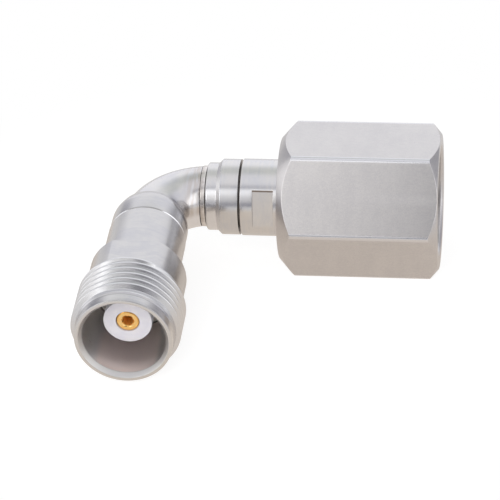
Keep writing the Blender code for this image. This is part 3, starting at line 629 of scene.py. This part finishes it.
def gold_finish():
    """Bright gold plating over turned bronze, a little darker in patches."""
    made, start = new_finish("gold_plating")
    patch = start.cloud(0.5, 2.0)
    radius = start.radius()
    drilled = 1 - radius.step(NOTCH_RADIUS + 0.02, NOTCH_RADIUS + 0.05)
    worn = patch.step(0.3, 0.7).between((1.0, 0.62, 0.22, 1.0), (1.0, 0.71, 0.31, 1.0))
    # Painted shade: the contact's outer rim is coloured darker orange.
    rim = radius.step(CONTACT_RADIUS - 0.22, CONTACT_RADIUS - 0.12)
    colour = rim.between(worn, (0.84, 0.48, 0.14, 1.0))
    coat(start, {
        "Base Color": drilled.between(colour, (1.0, 0.66, 0.22, 1.0)),
        "Metallic": 1.0,
        "Roughness": 0.16 + 0.10 * patch + 0.50 * drilled,
        "Normal": start.dent(start.cloud(0.15, 1.0), 0.0006),
    })
    return made


def hole_radius(angle):
    """Radius of the slit hole, whose notches have parallel sides."""
    pitch = math.tau / NOTCHES
    lean = abs(math.sin((angle + pitch / 2) % pitch - pitch / 2))
    return max(HOLE_RADIUS, min(NOTCH_RADIUS, NOTCH_HALF / max(lean, HAIR)))


def contact_profile(angle):
    face = face_place - CONTACT_BACK
    rear = bushing_start + CUP_SET_IN
    notched = hole_radius(angle)
    return [
        (rear, WIRE_CUP, 0),
        (rear, WIRE_CUP + CUP_WALL, 0),
        (rear + CUP_DEPTH, WIRE_CUP + CUP_WALL, 0),
        (rear + CUP_DEPTH, CONTACT_RADIUS, 0),
        (face, CONTACT_RADIUS, CONTACT_ROUND),
        (face, notched + LEAD_IN, LEAD_IN_ROUND),
        (face - LEAD_IN_DEPTH, notched, BROKEN),
        (face - HOLE_DEPTH / 2, notched, 0),
        (face - HOLE_DEPTH / 2, HOLE_RADIUS, 0),
        (face - HOLE_DEPTH, HOLE_RADIUS, 0),
        (face - HOLE_DEPTH, 0.0, 0),
        (rear + CUP_DEPTH, 0.0, 0),
        (rear + CUP_DEPTH, WIRE_CUP, 0),
    ]


notch_edges = [(math.tau * index / NOTCHES + side * math.asin(NOTCH_HALF / radius)) % math.tau
               for index in range(NOTCHES) for side in (-1, 1)
               for radius in (HOLE_RADIUS, NOTCH_RADIUS)]
gold = gold_finish()
contact_rows = columns(contact_profile, CONTACT_SIDES, notch_edges)
contact = turned("jack_socket", contact_rows, jack_axis)
settle(contact, "adapter", "gold", gold, "jack_contact")


# Collar of the plug. A narrow ring, stained by the solder, lies in the tube's shoulder, and the
# stepped stainless collar soldered on behind it carries the plug. Its neck enters the plug's body.
RING_LENGTH = 0.58
RING_WALL = 0.33
RING_ROUND = 0.10
STEP_RADIUS = 3.58
STEP_LENGTH = 1.15
STEP_ROUND = 0.20
STEPPED_RADIUS = 4.0
STEPPED_LENGTH = 2.33
SOCKET_DEPTH = 3.0
PLUG_NECK_WALL = 0.86
PLUG_NECK_LENGTH = 1.4
SLIT = 0.24
SLIT_ROUND = 0.04
POCKET_PLACE = 1.30
POCKET_LENGTH = 2.18
POCKET_TURN = 81.8
POCKET_EDGE_BAND = (1.94, 2.09)
POCKET_EDGE_DARK = (0.30, 0.25, 0.215, 1.0)
SHADED_GAP = (0.14, 0.125, 0.115, 1.0)
PLUG_COOL = (0.63, 0.63, 0.65, 1.0)
PLUG_WARM = (0.695, 0.68, 0.665, 1.0)
RING_COOL = (0.52, 0.48, 0.45, 1.0)
RING_WARM = (0.84, 0.81, 0.79, 1.0)
STEP_LOW_PAINTED_LIGHT = (0.785, 0.78, 0.79, 1.0)
STEP_MATT = (0.70, 0.69, 0.69, 1.0)
collar_place = RING_PLACE + RING_LENGTH + FIT
step_place = collar_place + STEP_LENGTH
step_slope = STEPPED_RADIUS - STEP_RADIUS
collar_end = step_place + STEPPED_LENGTH
plug_neck_end = collar_end + PLUG_NECK_LENGTH
plug_neck = TUBE_BORE + PLUG_NECK_WALL
pocket_start = collar_end + SLIT + POCKET_PLACE
pocket_turn = math.radians(POCKET_TURN)
plug_zones = [
    ((RING_PLACE - 0.04, RING_PLACE + 0.04), ANY, ANY, EDGE_EASE, SHADED_GAP, 0.3),
    ((collar_place - 0.06, collar_place + 0.02), ANY, ANY, EDGE_EASE, SHADED_GAP, 0.3),
    ((collar_end + 0.02, collar_end + SLIT - 0.02), ANY, ANY, EDGE_EASE, SHADED_GAP, 0.3),
    # A dark brown line along the upper edge of each pocket.
    ((pocket_start, pocket_start + POCKET_LENGTH), ANY, POCKET_EDGE_BAND, EDGE_EASE, POCKET_EDGE_DARK, 0.2),
    # Painted light: the lower part of the collar's first step is coloured lighter.
    ((collar_place + 0.2, step_place), (STEP_RADIUS - 0.2, STEP_RADIUS), (-STEPPED_RADIUS, 1.5),
     1.0, STEP_LOW_PAINTED_LIGHT, 0.0),
    ((step_place, step_place + step_slope), (STEP_RADIUS + 0.03, STEPPED_RADIUS), ANY, EDGE_EASE,
     STEP_MATT, 0.18),
]
pocket_up = (-math.sin(pocket_turn), math.cos(pocket_turn), 0)
plug_steel = steel_finish("plug_steel", PLUG_COOL, PLUG_WARM, 0.11, 0.0012, pocket_up, plug_zones)
ring_steel = steel_finish("soldered_ring_steel", RING_COOL, RING_WARM, 0.13, 0.012, pocket_up,
                          plug_zones[:2])
ring_profile = [
    (RING_PLACE + FIT, SPIGOT_RADIUS + FIT + RING_WALL, RING_ROUND),
    (RING_PLACE + RING_LENGTH, SPIGOT_RADIUS + FIT + RING_WALL, RING_ROUND),
    (RING_PLACE + RING_LENGTH, SPIGOT_RADIUS + FIT, 0),
    (RING_PLACE + FIT, SPIGOT_RADIUS + FIT, 0),
]
ring = turned("shoulder_ring", columns(lambda angle: ring_profile), plug_axis)
settle(ring, "adapter", "steel", ring_steel, "braze_ring")
collar_profile = [
    (collar_place, STEP_RADIUS, STEP_ROUND),
    (step_place, STEP_RADIUS, BROKEN),
    (step_place + step_slope, STEPPED_RADIUS, FINE),
    (collar_end, STEPPED_RADIUS, SLIT_ROUND),
    (collar_end, plug_neck, 0),
    (plug_neck_end, plug_neck, 0),
    (plug_neck_end, TUBE_BORE, 0),
    (collar_place + SOCKET_DEPTH + FIT, TUBE_BORE, 0),
    (collar_place + SOCKET_DEPTH + FIT, SPIGOT_RADIUS + FIT, 0),
    (collar_place, SPIGOT_RADIUS + FIT, 0),
]
stepped = turned("stepped_collar", columns(lambda angle: collar_profile), plug_axis)
settle(stepped, "adapter", "steel", plug_steel, "plug_collar")


# Body of the plug. Turned stainless, with a pocket milled across each side for a wrench. The nut
# turns on its journal, where a split ring in a groove holds it.
BODY_RADIUS = 4.06
BODY_LENGTH = 4.06
POCKET_HEIGHT = 3.5
JOURNAL_RADIUS = 4.8
JOURNAL_SET_IN = 0.35
JOURNAL_LENGTH = 5.9
JOURNAL_ROUND = 0.10
JOURNAL_NOSE = 0.12
RING_GROOVE_PLACE = 2.3
RING_GROOVE_LENGTH = 1.0
RING_GROOVE_RADIUS = 4.2
PLUG_BASE_RADIUS = 3.55
PLUG_BASE_BORE = 2.7
PLUG_BASE_LENGTH = 4.4
body_start = collar_end + SLIT
nut_start = body_start + BODY_LENGTH
journal_start = nut_start + JOURNAL_SET_IN
body_end = journal_start + JOURNAL_LENGTH
groove_start = journal_start + RING_GROOVE_PLACE
groove_end = groove_start + RING_GROOVE_LENGTH
pockets = [pocket_turn + half for half in (0.0, math.pi)]


def body_profile(angle):
    pocket = flatted(BODY_RADIUS, angle, pockets, POCKET_HEIGHT)
    return [
        (body_start, BODY_RADIUS, BROKEN),
        (pocket_start, BODY_RADIUS, CRISP),
        (pocket_start, pocket, CRISP),
        (pocket_start + POCKET_LENGTH, pocket, CRISP),
        (pocket_start + POCKET_LENGTH, BODY_RADIUS, CRISP),
        (journal_start, BODY_RADIUS, 0),
        (journal_start, JOURNAL_RADIUS, JOURNAL_ROUND),
        (groove_start, JOURNAL_RADIUS, 0),
        (groove_start, RING_GROOVE_RADIUS, 0),
        (groove_end, RING_GROOVE_RADIUS, 0),
        (groove_end, JOURNAL_RADIUS, 0),
        (body_end, JOURNAL_RADIUS, JOURNAL_NOSE),
        (body_end, PLUG_BASE_RADIUS + FIT, CRISP),
        (body_end - PLUG_BASE_LENGTH - FIT, PLUG_BASE_RADIUS + FIT, 0),
        (body_end - PLUG_BASE_LENGTH - FIT, PLUG_BASE_BORE, 0),
        (plug_neck_end + FIT, PLUG_BASE_BORE, 0),
        (plug_neck_end + FIT, plug_neck + FIT, 0),
        (body_start, plug_neck + FIT, 0),
    ]


body_rows = columns(body_profile, bends=flat_edges(BODY_RADIUS, pockets, POCKET_HEIGHT))
rear_body = turned("plug_barrel", body_rows, plug_axis)
settle(rear_body, "adapter", "steel", plug_steel, "plug_body")


# Outer contact of the plug. Bronze sleeve plated bright, slit into four springs, with its thicker
# base pressed into the body's front.
SPRING_RADIUS = 4.0
SPRING_BORE = 3.3
SPRING_LENGTH = 8.8
SPRING_TIP = 0.12
SLOT_LENGTH = 6.4
SLOT_HALF = 0.175
SLOTS = 4
tip_place = body_end + SPRING_LENGTH


def plating_finish():
    """White bronze plating, bright, with fine rings from turning."""
    made, start = new_finish("white_bronze_plating")
    cloudy = start.cloud(1.0, 2.0)
    colour = cloudy.step(0.3, 0.7).between((0.70, 0.69, 0.66, 1.0), (0.76, 0.75, 0.72, 1.0))
    coat(start, {
        "Base Color": colour,
        "Metallic": 1.0,
        "Roughness": 0.16 + 0.12 * cloudy,
        "Anisotropic": 0.4,
        "Normal": start.dent(start.cloud(0.3, 2.0, (0.2, 0.2, 1.0)), 0.0010),
    })
    return made


def spring_profile(angle):
    pitch = math.tau / SLOTS
    away = abs(angle % pitch - pitch / 2)
    slot_end = tip_place - SLOT_LENGTH
    reach = slot_end if away < SLOT_HALF / SPRING_RADIUS else tip_place
    tip = SPRING_TIP if reach == tip_place else 0
    return [
        (body_end - PLUG_BASE_LENGTH, PLUG_BASE_RADIUS, FINE),
        (body_end + FIT, PLUG_BASE_RADIUS, 0),
        (body_end + FIT, SPRING_RADIUS, FINE),
        (slot_end, SPRING_RADIUS, 0),
        (reach, SPRING_RADIUS - tip, FINE),
        (reach, SPRING_BORE + tip, FINE),
        (slot_end, SPRING_BORE, 0),
        (body_end - FIT, SPRING_BORE, 0),
        (body_end - FIT, PLUG_BASE_BORE, 0),
        (body_end - PLUG_BASE_LENGTH, PLUG_BASE_BORE, 0),
    ]


slot_sides = [math.tau * (index + 0.5) / SLOTS + side * SLOT_HALF / SPRING_RADIUS
              for index in range(SLOTS) for side in (-1, 1)]
bright_plating = plating_finish()
spring = turned("plug_springs", columns(spring_profile, jumps=slot_sides), plug_axis)
settle(spring, "adapter", "bright_contact", bright_plating, "plug_sleeve")


# Inside of the plug. White fluoropolymer insulator with a skirt that slides over the jack's nose,
# held from behind by a pressed ring and a bead, and the gold-plated pin soldered on the wire.
FACE_SHORT = 5.0
SKIRT_LENGTH = 3.6
SKIRT_WALL = 0.6
SKIRT_ROUND = 0.10
PIN_RADIUS = 0.685
PIN_SHANK = 1.1
PIN_SHORT = 1.1
PIN_TAPER = 1.37
PIN_TAPER_ROUND = 0.60
PIN_TIP = 0.17
PIN_TIP_ROUND = 0.08
PIN_NOSE = 0.12
PIN_NOSE_RISE = 0.10
PIN_NOSE_ROUND = 0.20
PIN_SIDES = 64
skirt_face = tip_place - FACE_SHORT
plug_bead = plug_neck_end + 2 * FIT
plug_bushing = plug_bead + BEAD_LENGTH + FIT
plug_rod = plug_bushing + BUSHING_LENGTH + FIT
rod_radius = PLUG_BASE_BORE - FIT
skirt_radius = SPRING_BORE - FIT
skirt_profile = [
    (plug_rod, rod_radius, FINE),
    (body_end, rod_radius, 0),
    (body_end, skirt_radius, 0),
    (skirt_face + SKIRT_LENGTH, skirt_radius, SKIRT_ROUND),
    (skirt_face + SKIRT_LENGTH, skirt_radius - SKIRT_WALL, SKIRT_ROUND),
    (skirt_face, skirt_radius - SKIRT_WALL, FINE),
    (skirt_face, PIN_SHANK + FIT, 0),
    (plug_rod, PIN_SHANK + FIT, 0),
]
skirt = turned("plug_skirt", columns(lambda angle: skirt_profile), plug_axis)
settle(skirt, "adapter", "ptfe", white_ptfe, "plug_insulator")
pin_rear = plug_bushing + CUP_SET_IN
pin_end = tip_place - PIN_SHORT
pin_profile = [
    (pin_rear, WIRE_CUP, 0),
    (pin_rear, WIRE_CUP + CUP_WALL, 0),
    (pin_rear + CUP_DEPTH, WIRE_CUP + CUP_WALL, 0),
    (pin_rear + CUP_DEPTH, PIN_SHANK, 0),
    (skirt_face, PIN_SHANK, FINE),
    (skirt_face, PIN_RADIUS, CRISP),
    (pin_end - PIN_TAPER, PIN_RADIUS, PIN_TAPER_ROUND),
    (pin_end - PIN_NOSE, PIN_TIP + PIN_NOSE_RISE, PIN_NOSE_ROUND),
    (pin_end, PIN_TIP, PIN_TIP_ROUND),
    (pin_end, 0.0, 0),
    (pin_rear + CUP_DEPTH, 0.0, 0),
    (pin_rear + CUP_DEPTH, WIRE_CUP, 0),
]
pin = turned("plug_point", columns(lambda angle: pin_profile, PIN_SIDES), plug_axis)
settle(pin, "adapter", "gold", gold, "plug_pin")
dress_node("plug_bead", white_ptfe)
dress_node("plug_bushing", plug_steel)


# Gasket and lock ring. A silicone ring on the body's shoulder seals the jack's lip, and a split
# ring sprung into the body's groove keeps the nut on.
GASKET_THICKNESS = 0.85
GASKET_ROUND = 0.22
GASKET_BORE_ROUND = 0.18


def silicone_finish():
    """Red silicone rubber, matt, with fine pores and a little dust."""
    made, start = new_finish("red_silicone")
    dust = start.cloud(0.6, 4.0)
    colour = dust.step(0.35, 0.80).between((0.42, 0.09, 0.045, 1.0), (0.56, 0.18, 0.10, 1.0))
    coat(start, {
        "Base Color": colour,
        "Roughness": 0.55 + 0.15 * dust,
        "Normal": start.dent(start.cloud(0.2, 2.0), 0.006),
    })
    return made


gasket_start = body_end + FIT
gasket_profile = [
    (gasket_start, JOURNAL_RADIUS, GASKET_ROUND),
    (gasket_start + GASKET_THICKNESS, JOURNAL_RADIUS, GASKET_ROUND),
    (gasket_start + GASKET_THICKNESS, SPRING_RADIUS + FIT, GASKET_BORE_ROUND),
    (gasket_start, SPRING_RADIUS + FIT, GASKET_BORE_ROUND),
]
gasket = turned("seal_ring", columns(lambda angle: gasket_profile), plug_axis)
settle(gasket, "adapter", "silicone", silicone_finish(), "face_gasket")
dress_node("lock_ring", bright_plating)


# Coupling nut. Milled from stainless hexagon bar, chamfered at both ends, bored and threaded. Its
# flats keep the satin of the drawn bar, and its long edges are broken.
NUT_LENGTH = 16.75
NUT_APOTHEM = 7.15
NUT_EDGE = 0.30
REAR_CUT = 1.826
REAR_CHAMFER = 1.61
FRONT_CUT = 1.156
FRONT_CHAMFER = 0.98
FRONT_ROUND = 0.07
NUT_BORE = 4.9
NUT_GROOVE = 5.45
NUT_CAVITY = 5.75
RUNNING = 0.10
RING_LAND = 0.4
NUT_THREAD_CREST = 5.11
NUT_THREAD_SET_IN = 1.0
NUT_THREAD_TURNS = 5.2
NUT_THREAD_START = 5.6
NUT_THREAD_REACH = 6.2
NUT_MOUTH_BEVEL = 0.25
FLAT_STEPS = 18
ROUND_STEPS = 4
nut_end = nut_start + NUT_LENGTH
nut_corner = NUT_APOTHEM / math.cos(math.pi / 6)
edge_start = math.atan((nut_corner / 2 - NUT_EDGE) / NUT_APOTHEM)


def nut_radius(angle):
    """Outside radius of the hexagon bar, with its long edges broken by small rounds."""
    pitch = math.pi / 3
    lean = abs((angle + pitch / 2) % pitch - pitch / 2)
    if lean <= edge_start:
        return NUT_APOTHEM / math.cos(lean)
    share = (lean - edge_start) / (pitch / 2 - edge_start)
    rim = NUT_APOTHEM / math.cos(edge_start)
    middle = (nut_corner + rim * math.cos(pitch / 2 - edge_start)) / 2
    return rim + (middle - rim) * (1 - (1 - share) ** 2)


def nut_profile(angle):
    radius = nut_radius(angle)
    rear_face = nut_corner - REAR_CUT
    front_face = nut_corner - FRONT_CUT
    low = groove_end + RUNNING + RING_LAND
    thread_top = nut_end - NUT_THREAD_SET_IN
    thread = helix(angle, thread_top - NUT_THREAD_START * PITCH, NUT_THREAD_TURNS, NUT_CAVITY,
                   NUT_THREAD_CREST - NUT_CAVITY, thread_top - NUT_THREAD_REACH * PITCH, thread_top)
    return [
        (nut_start, NUT_BORE, FINE),
        (nut_start, rear_face, BROKEN),
        (nut_start + (radius - rear_face) * REAR_CHAMFER / REAR_CUT, radius, BROKEN),
        (nut_end - (radius - front_face) * FRONT_CHAMFER / FRONT_CUT, radius, BROKEN),
        (nut_end, front_face, FRONT_ROUND),
        (nut_end, NUT_CAVITY + NUT_MOUTH_BEVEL, BROKEN),
        (nut_end - NUT_MOUTH_BEVEL, NUT_CAVITY, BROKEN),
    ] + thread[::-1] + [
        (low, NUT_CAVITY, 0),
        (low, NUT_BORE, CRISP),
        (groove_end + RUNNING, NUT_BORE, 0),
        (groove_end + RUNNING, NUT_GROOVE, 0),
        (groove_start - RUNNING, NUT_GROOVE, 0),
        (groove_start - RUNNING, NUT_BORE, 0),
    ]


def nut_finish():
    """Satin stainless bar: fine specks, faint patches of grey, and long edges rubbed smoother."""
    made, start = new_finish("nut_bar_steel")
    grain = start.cloud(0.26, 3.0, (1.0, 1.0, 0.7))
    specks = start.cloud(0.11, 1.0)
    patches = start.cloud(4.5, 2.0)
    streaks = start.cloud(1.0, 2.0, (0.25, 0.25, 1.0))
    rubbed = start.radius().step(nut_corner - 0.20, nut_corner - 0.13)
    tone = (grain * 0.26 + specks * 0.42 + patches * 0.16 + streaks * 0.16).step(0.36, 0.64)
    colour = tone.between((0.572, 0.556, 0.562, 1.0), (0.650, 0.632, 0.624, 1.0))
    coat(start, {
        "Base Color": rubbed.between(colour, (0.71, 0.71, 0.73, 1.0)),
        "Metallic": 1.0,
        "Roughness": 0.24 + 0.08 * grain + 0.05 * specks - 0.12 * rubbed,
        "Normal": start.dent(grain * 0.6 + specks * 0.4, 0.0040),
    })
    return made


nut_sixth = [math.tau * side / 6 for side in range(7)]
nut_angles = [middle + side * edge_start * step / FLAT_STEPS for middle in nut_sixth
              for side in (-1, 1) for step in range(FLAT_STEPS + 1)]
nut_angles += [middle + math.pi / 6 + (math.pi / 6 - edge_start) * step / ROUND_STEPS
               for middle in nut_sixth for step in range(1 - ROUND_STEPS, ROUND_STEPS)]
nut_bends = sorted({round(angle, 9) for angle in nut_angles if 0 < angle < math.tau})
nut = turned("hex_nut", columns(nut_profile, 1, nut_bends), plug_axis)
settle(nut, "nut", "nut_steel", nut_finish(), "coupling_nut")


# Table, light and camera. A pale table stands under the adapter, white beyond its shadow, with one
# soft box beside the camera, in a white room that has darker gaps between its panels and one pane.
TABLE_HALF = 0.6
TABLE_DROP = 0.00001
SHADE_MIDDLE = (-0.009, -0.006, 0.0)
SHADE_NEAR = 0.022
SHADE_FAR = 0.050
ROOM_LIGHT = (0.64, 0.64, 0.64, 1.0)
LOW_PANEL = (1.15, 1.12, 1.12, 1.0)
DIM_PANEL = (0.46, 0.46, 0.50, 1.0)
EDGE_PANEL = (1.35, 1.35, 1.37, 1.0)
GAP_SHADE = (0.08, 0.08, 0.10, 1.0)
PANE_LIGHT = (3.2, 3.2, 3.2, 1.0)
WHITE = (1.0, 1.0, 1.0, 1.0)
SOFTBOX = (0.30, 0.30)
SOFTBOX_PLACE = (-0.10, -0.42, 0.27)
SOFTBOX_POWER = 1.3
CAMERA_AIM = (-0.011995, -0.000016, 0.000634)
CAMERA_TURN = 7.337
CAMERA_RISE = 30.49
CAMERA_ROLL = -2.263
CAMERA_DISTANCE = 0.32064
CAMERA_LENS = 216.0


def table_finish():
    """Pale matt table: its shadow shows near the adapter, and further off it is plain white."""
    made, start = new_finish("pale_table")
    spot = start.node("TexCoord", {}, {}, "Object")
    middle = start.node("VectorMath", {"operation": "SUBTRACT"}, {0: spot, 1: SHADE_MIDDLE})
    away = start.node("VectorMath", {"operation": "LENGTH"}, {0: middle}, "Value")
    rays = {name: start.node("LightPath", {}, {}, name) for name in
            ("Is Camera Ray", "Is Glossy Ray", "Is Transmission Ray")}
    seen = rays["Is Camera Ray"] + rays["Is Glossy Ray"] + rays["Is Transmission Ray"]
    matt = start.node("BsdfDiffuse", {}, {"Color": (0.84, 0.775, 0.715, 1.0)})
    faint = start.node("BsdfDiffuse", {}, {"Color": (0.30, 0.30, 0.30, 1.0)})
    lift = start.node("Emission", {}, {"Color": (0.82, 0.82, 0.82, 1.0), "Strength": 1.0})
    mirrored = start.node("Emission", {}, {"Color": (0.84, 0.83, 0.83, 1.0), "Strength": 1.0})
    white = start.node("Emission", {}, {"Color": WHITE, "Strength": 1.0})
    edge = start.node("MixShader", {}, {0: rays["Is Glossy Ray"], 1: white, 2: mirrored})
    lifted = start.node("AddShader", {}, {0: faint, 1: lift})
    warm = start.node("Emission", {}, {"Color": (0.82, 0.735, 0.655, 1.0), "Strength": 1.0})
    dim = start.node("MixShader", {}, {0: 0.75 * rays["Is Glossy Ray"], 1: matt, 2: warm})
    near = start.node("MixShader", {}, {0: rays["Is Camera Ray"], 1: dim, 2: lifted})
    far = away.step(SHADE_NEAR, SHADE_FAR) * seen
    surface = start.node("MixShader", {}, {0: far, 1: near, 2: edge})
    start.node("OutputMaterial", {}, {"Surface": surface})
    return made


table_shape = bmesh.new()
bmesh.ops.create_grid(table_shape, x_segments=4, y_segments=4, size=TABLE_HALF / MM)
table = made_piece("table_top", table_shape, Matrix.Translation((0, 0, -TABLE_DROP)))
table.data.materials.append(table_finish())

room = bpy.data.worlds.new("white_room")
bpy.context.scene.world = room
room.use_nodes = True
room.node_tree.nodes.clear()
air = Link(room.node_tree)
look = air.node("TexCoord", {}, {}, "Generated")
beside, ahead, above = (air.node("SeparateXYZ", {}, {0: look}, output) for output in range(3))
tilt = air.maths("ARCTAN2", above, 0 - ahead) * (0.5 / math.pi) + 0.5
panels = air.node("ValToRGB", {"stops": [
    (0.500, (0.36, 0.36, 0.40, 1.0)),
    (0.520, (0.40, 0.40, 0.44, 1.0)),
    (0.545, (0.76, 0.75, 0.75, 1.0)),
    (0.588, (1.02, 1.01, 1.01, 1.0)),
    (0.604, (1.28, 1.28, 1.29, 1.0)),
    (0.640, (1.32, 1.32, 1.34, 1.0)),
    (0.651, (0.58, 0.58, 0.62, 1.0)),
    (0.668, (0.60, 0.60, 0.64, 1.0)),
    (0.684, (0.92, 0.92, 0.96, 1.0)),
    (0.712, (0.98, 0.98, 1.02, 1.0)),
    (0.765, (0.94, 0.94, 0.98, 1.0)),
    (0.805, (0.72, 0.74, 0.73, 1.0)),
    (0.845, (0.74, 0.76, 0.76, 1.0)),
    (0.895, (1.14, 1.15, 1.19, 1.0)),
    (1.000, (1.12, 1.12, 1.16, 1.0)),
]}, {"Fac": tilt})
facing = tilt.step(0.515, 0.535) * (1 - tilt.step(0.61, 0.65))
gap = facing * beside.step(0.02, 0.10) * (1 - beside.step(0.30, 0.42))
pane = facing * beside.step(-0.62, -0.56) * (1 - beside.step(-0.46, -0.40))
side_panels = air.node("ValToRGB", {"stops": [
    (0.500, (0.60, 0.60, 0.64, 1.0)),
    (0.530, (1.55, 1.55, 1.57, 1.0)),
    (0.622, (1.60, 1.60, 1.62, 1.0)),
    (0.655, (1.02, 1.02, 1.05, 1.0)),
    (0.820, (0.90, 0.90, 0.94, 1.0)),
    (0.880, DIM_PANEL),
    (1.000, DIM_PANEL),
]}, {"Fac": tilt})
low_left = tilt.step(0.56, 0.60).between(LOW_PANEL, panels)
left_panels = tilt.step(0.82, 0.88).between(low_left, DIM_PANEL)
mirrored = beside.step(0.42, 0.64).between(panels, side_panels)
mirrored = (0 - beside).step(0.42, 0.64).between(mirrored, left_panels)
mirrored = (0 - beside).step(0.82, 0.92).between(mirrored, EDGE_PANEL)
mirrored = pane.between(gap.between(mirrored, GAP_SHADE), PANE_LIGHT)
shiny = air.node("LightPath", {}, {}, "Is Glossy Ray")
seen = (air.node("LightPath", {}, {}, "Is Camera Ray")
        + air.node("LightPath", {}, {}, "Is Transmission Ray"))
lit = shiny.between(ROOM_LIGHT, mirrored)
sky = seen.between(lit, WHITE)
backdrop = air.node("Background", {}, {"Color": sky, "Strength": 1.0})
air.node("OutputWorld", {}, {"Surface": backdrop})

lamp = bpy.data.lights.new("softbox", "AREA")
lamp.shape = "RECTANGLE"
lamp.size, lamp.size_y = SOFTBOX
lamp.energy = SOFTBOX_POWER
box_light = bpy.data.objects.new("softbox", lamp)
bpy.context.scene.collection.objects.link(box_light)
box_light.location = SOFTBOX_PLACE
lamp_way = Vector(CAMERA_AIM) - Vector(SOFTBOX_PLACE)
box_light.rotation_euler = lamp_way.to_track_quat("-Z", "Y").to_euler()
box_light.visible_glossy = False

turn, rise, roll = (math.radians(value) for value in (CAMERA_TURN, CAMERA_RISE, CAMERA_ROLL))
back = Vector((math.sin(turn) * math.cos(rise), -math.cos(turn) * math.cos(rise), math.sin(rise)))
right = Vector((math.cos(turn), math.sin(turn), 0))
up = back.cross(right)
rolled_right = right * math.cos(roll) + up * math.sin(roll)
rolled_up = up * math.cos(roll) - right * math.sin(roll)
lens = bpy.data.cameras.new("photo_view")
lens.sensor_width = 36.0
lens.lens = CAMERA_LENS
lens.clip_start = 0.01
lens.clip_end = 5.0
camera = bpy.data.objects.new("photo_view", lens)
bpy.context.scene.collection.objects.link(camera)
camera.matrix_world = (Matrix.Translation(Vector(CAMERA_AIM) + back * CAMERA_DISTANCE)
                       @ Matrix((rolled_right, rolled_up, back)).transposed().to_4x4())
bpy.context.scene.camera = camera
bpy.context.scene.view_settings.view_transform = "Standard"
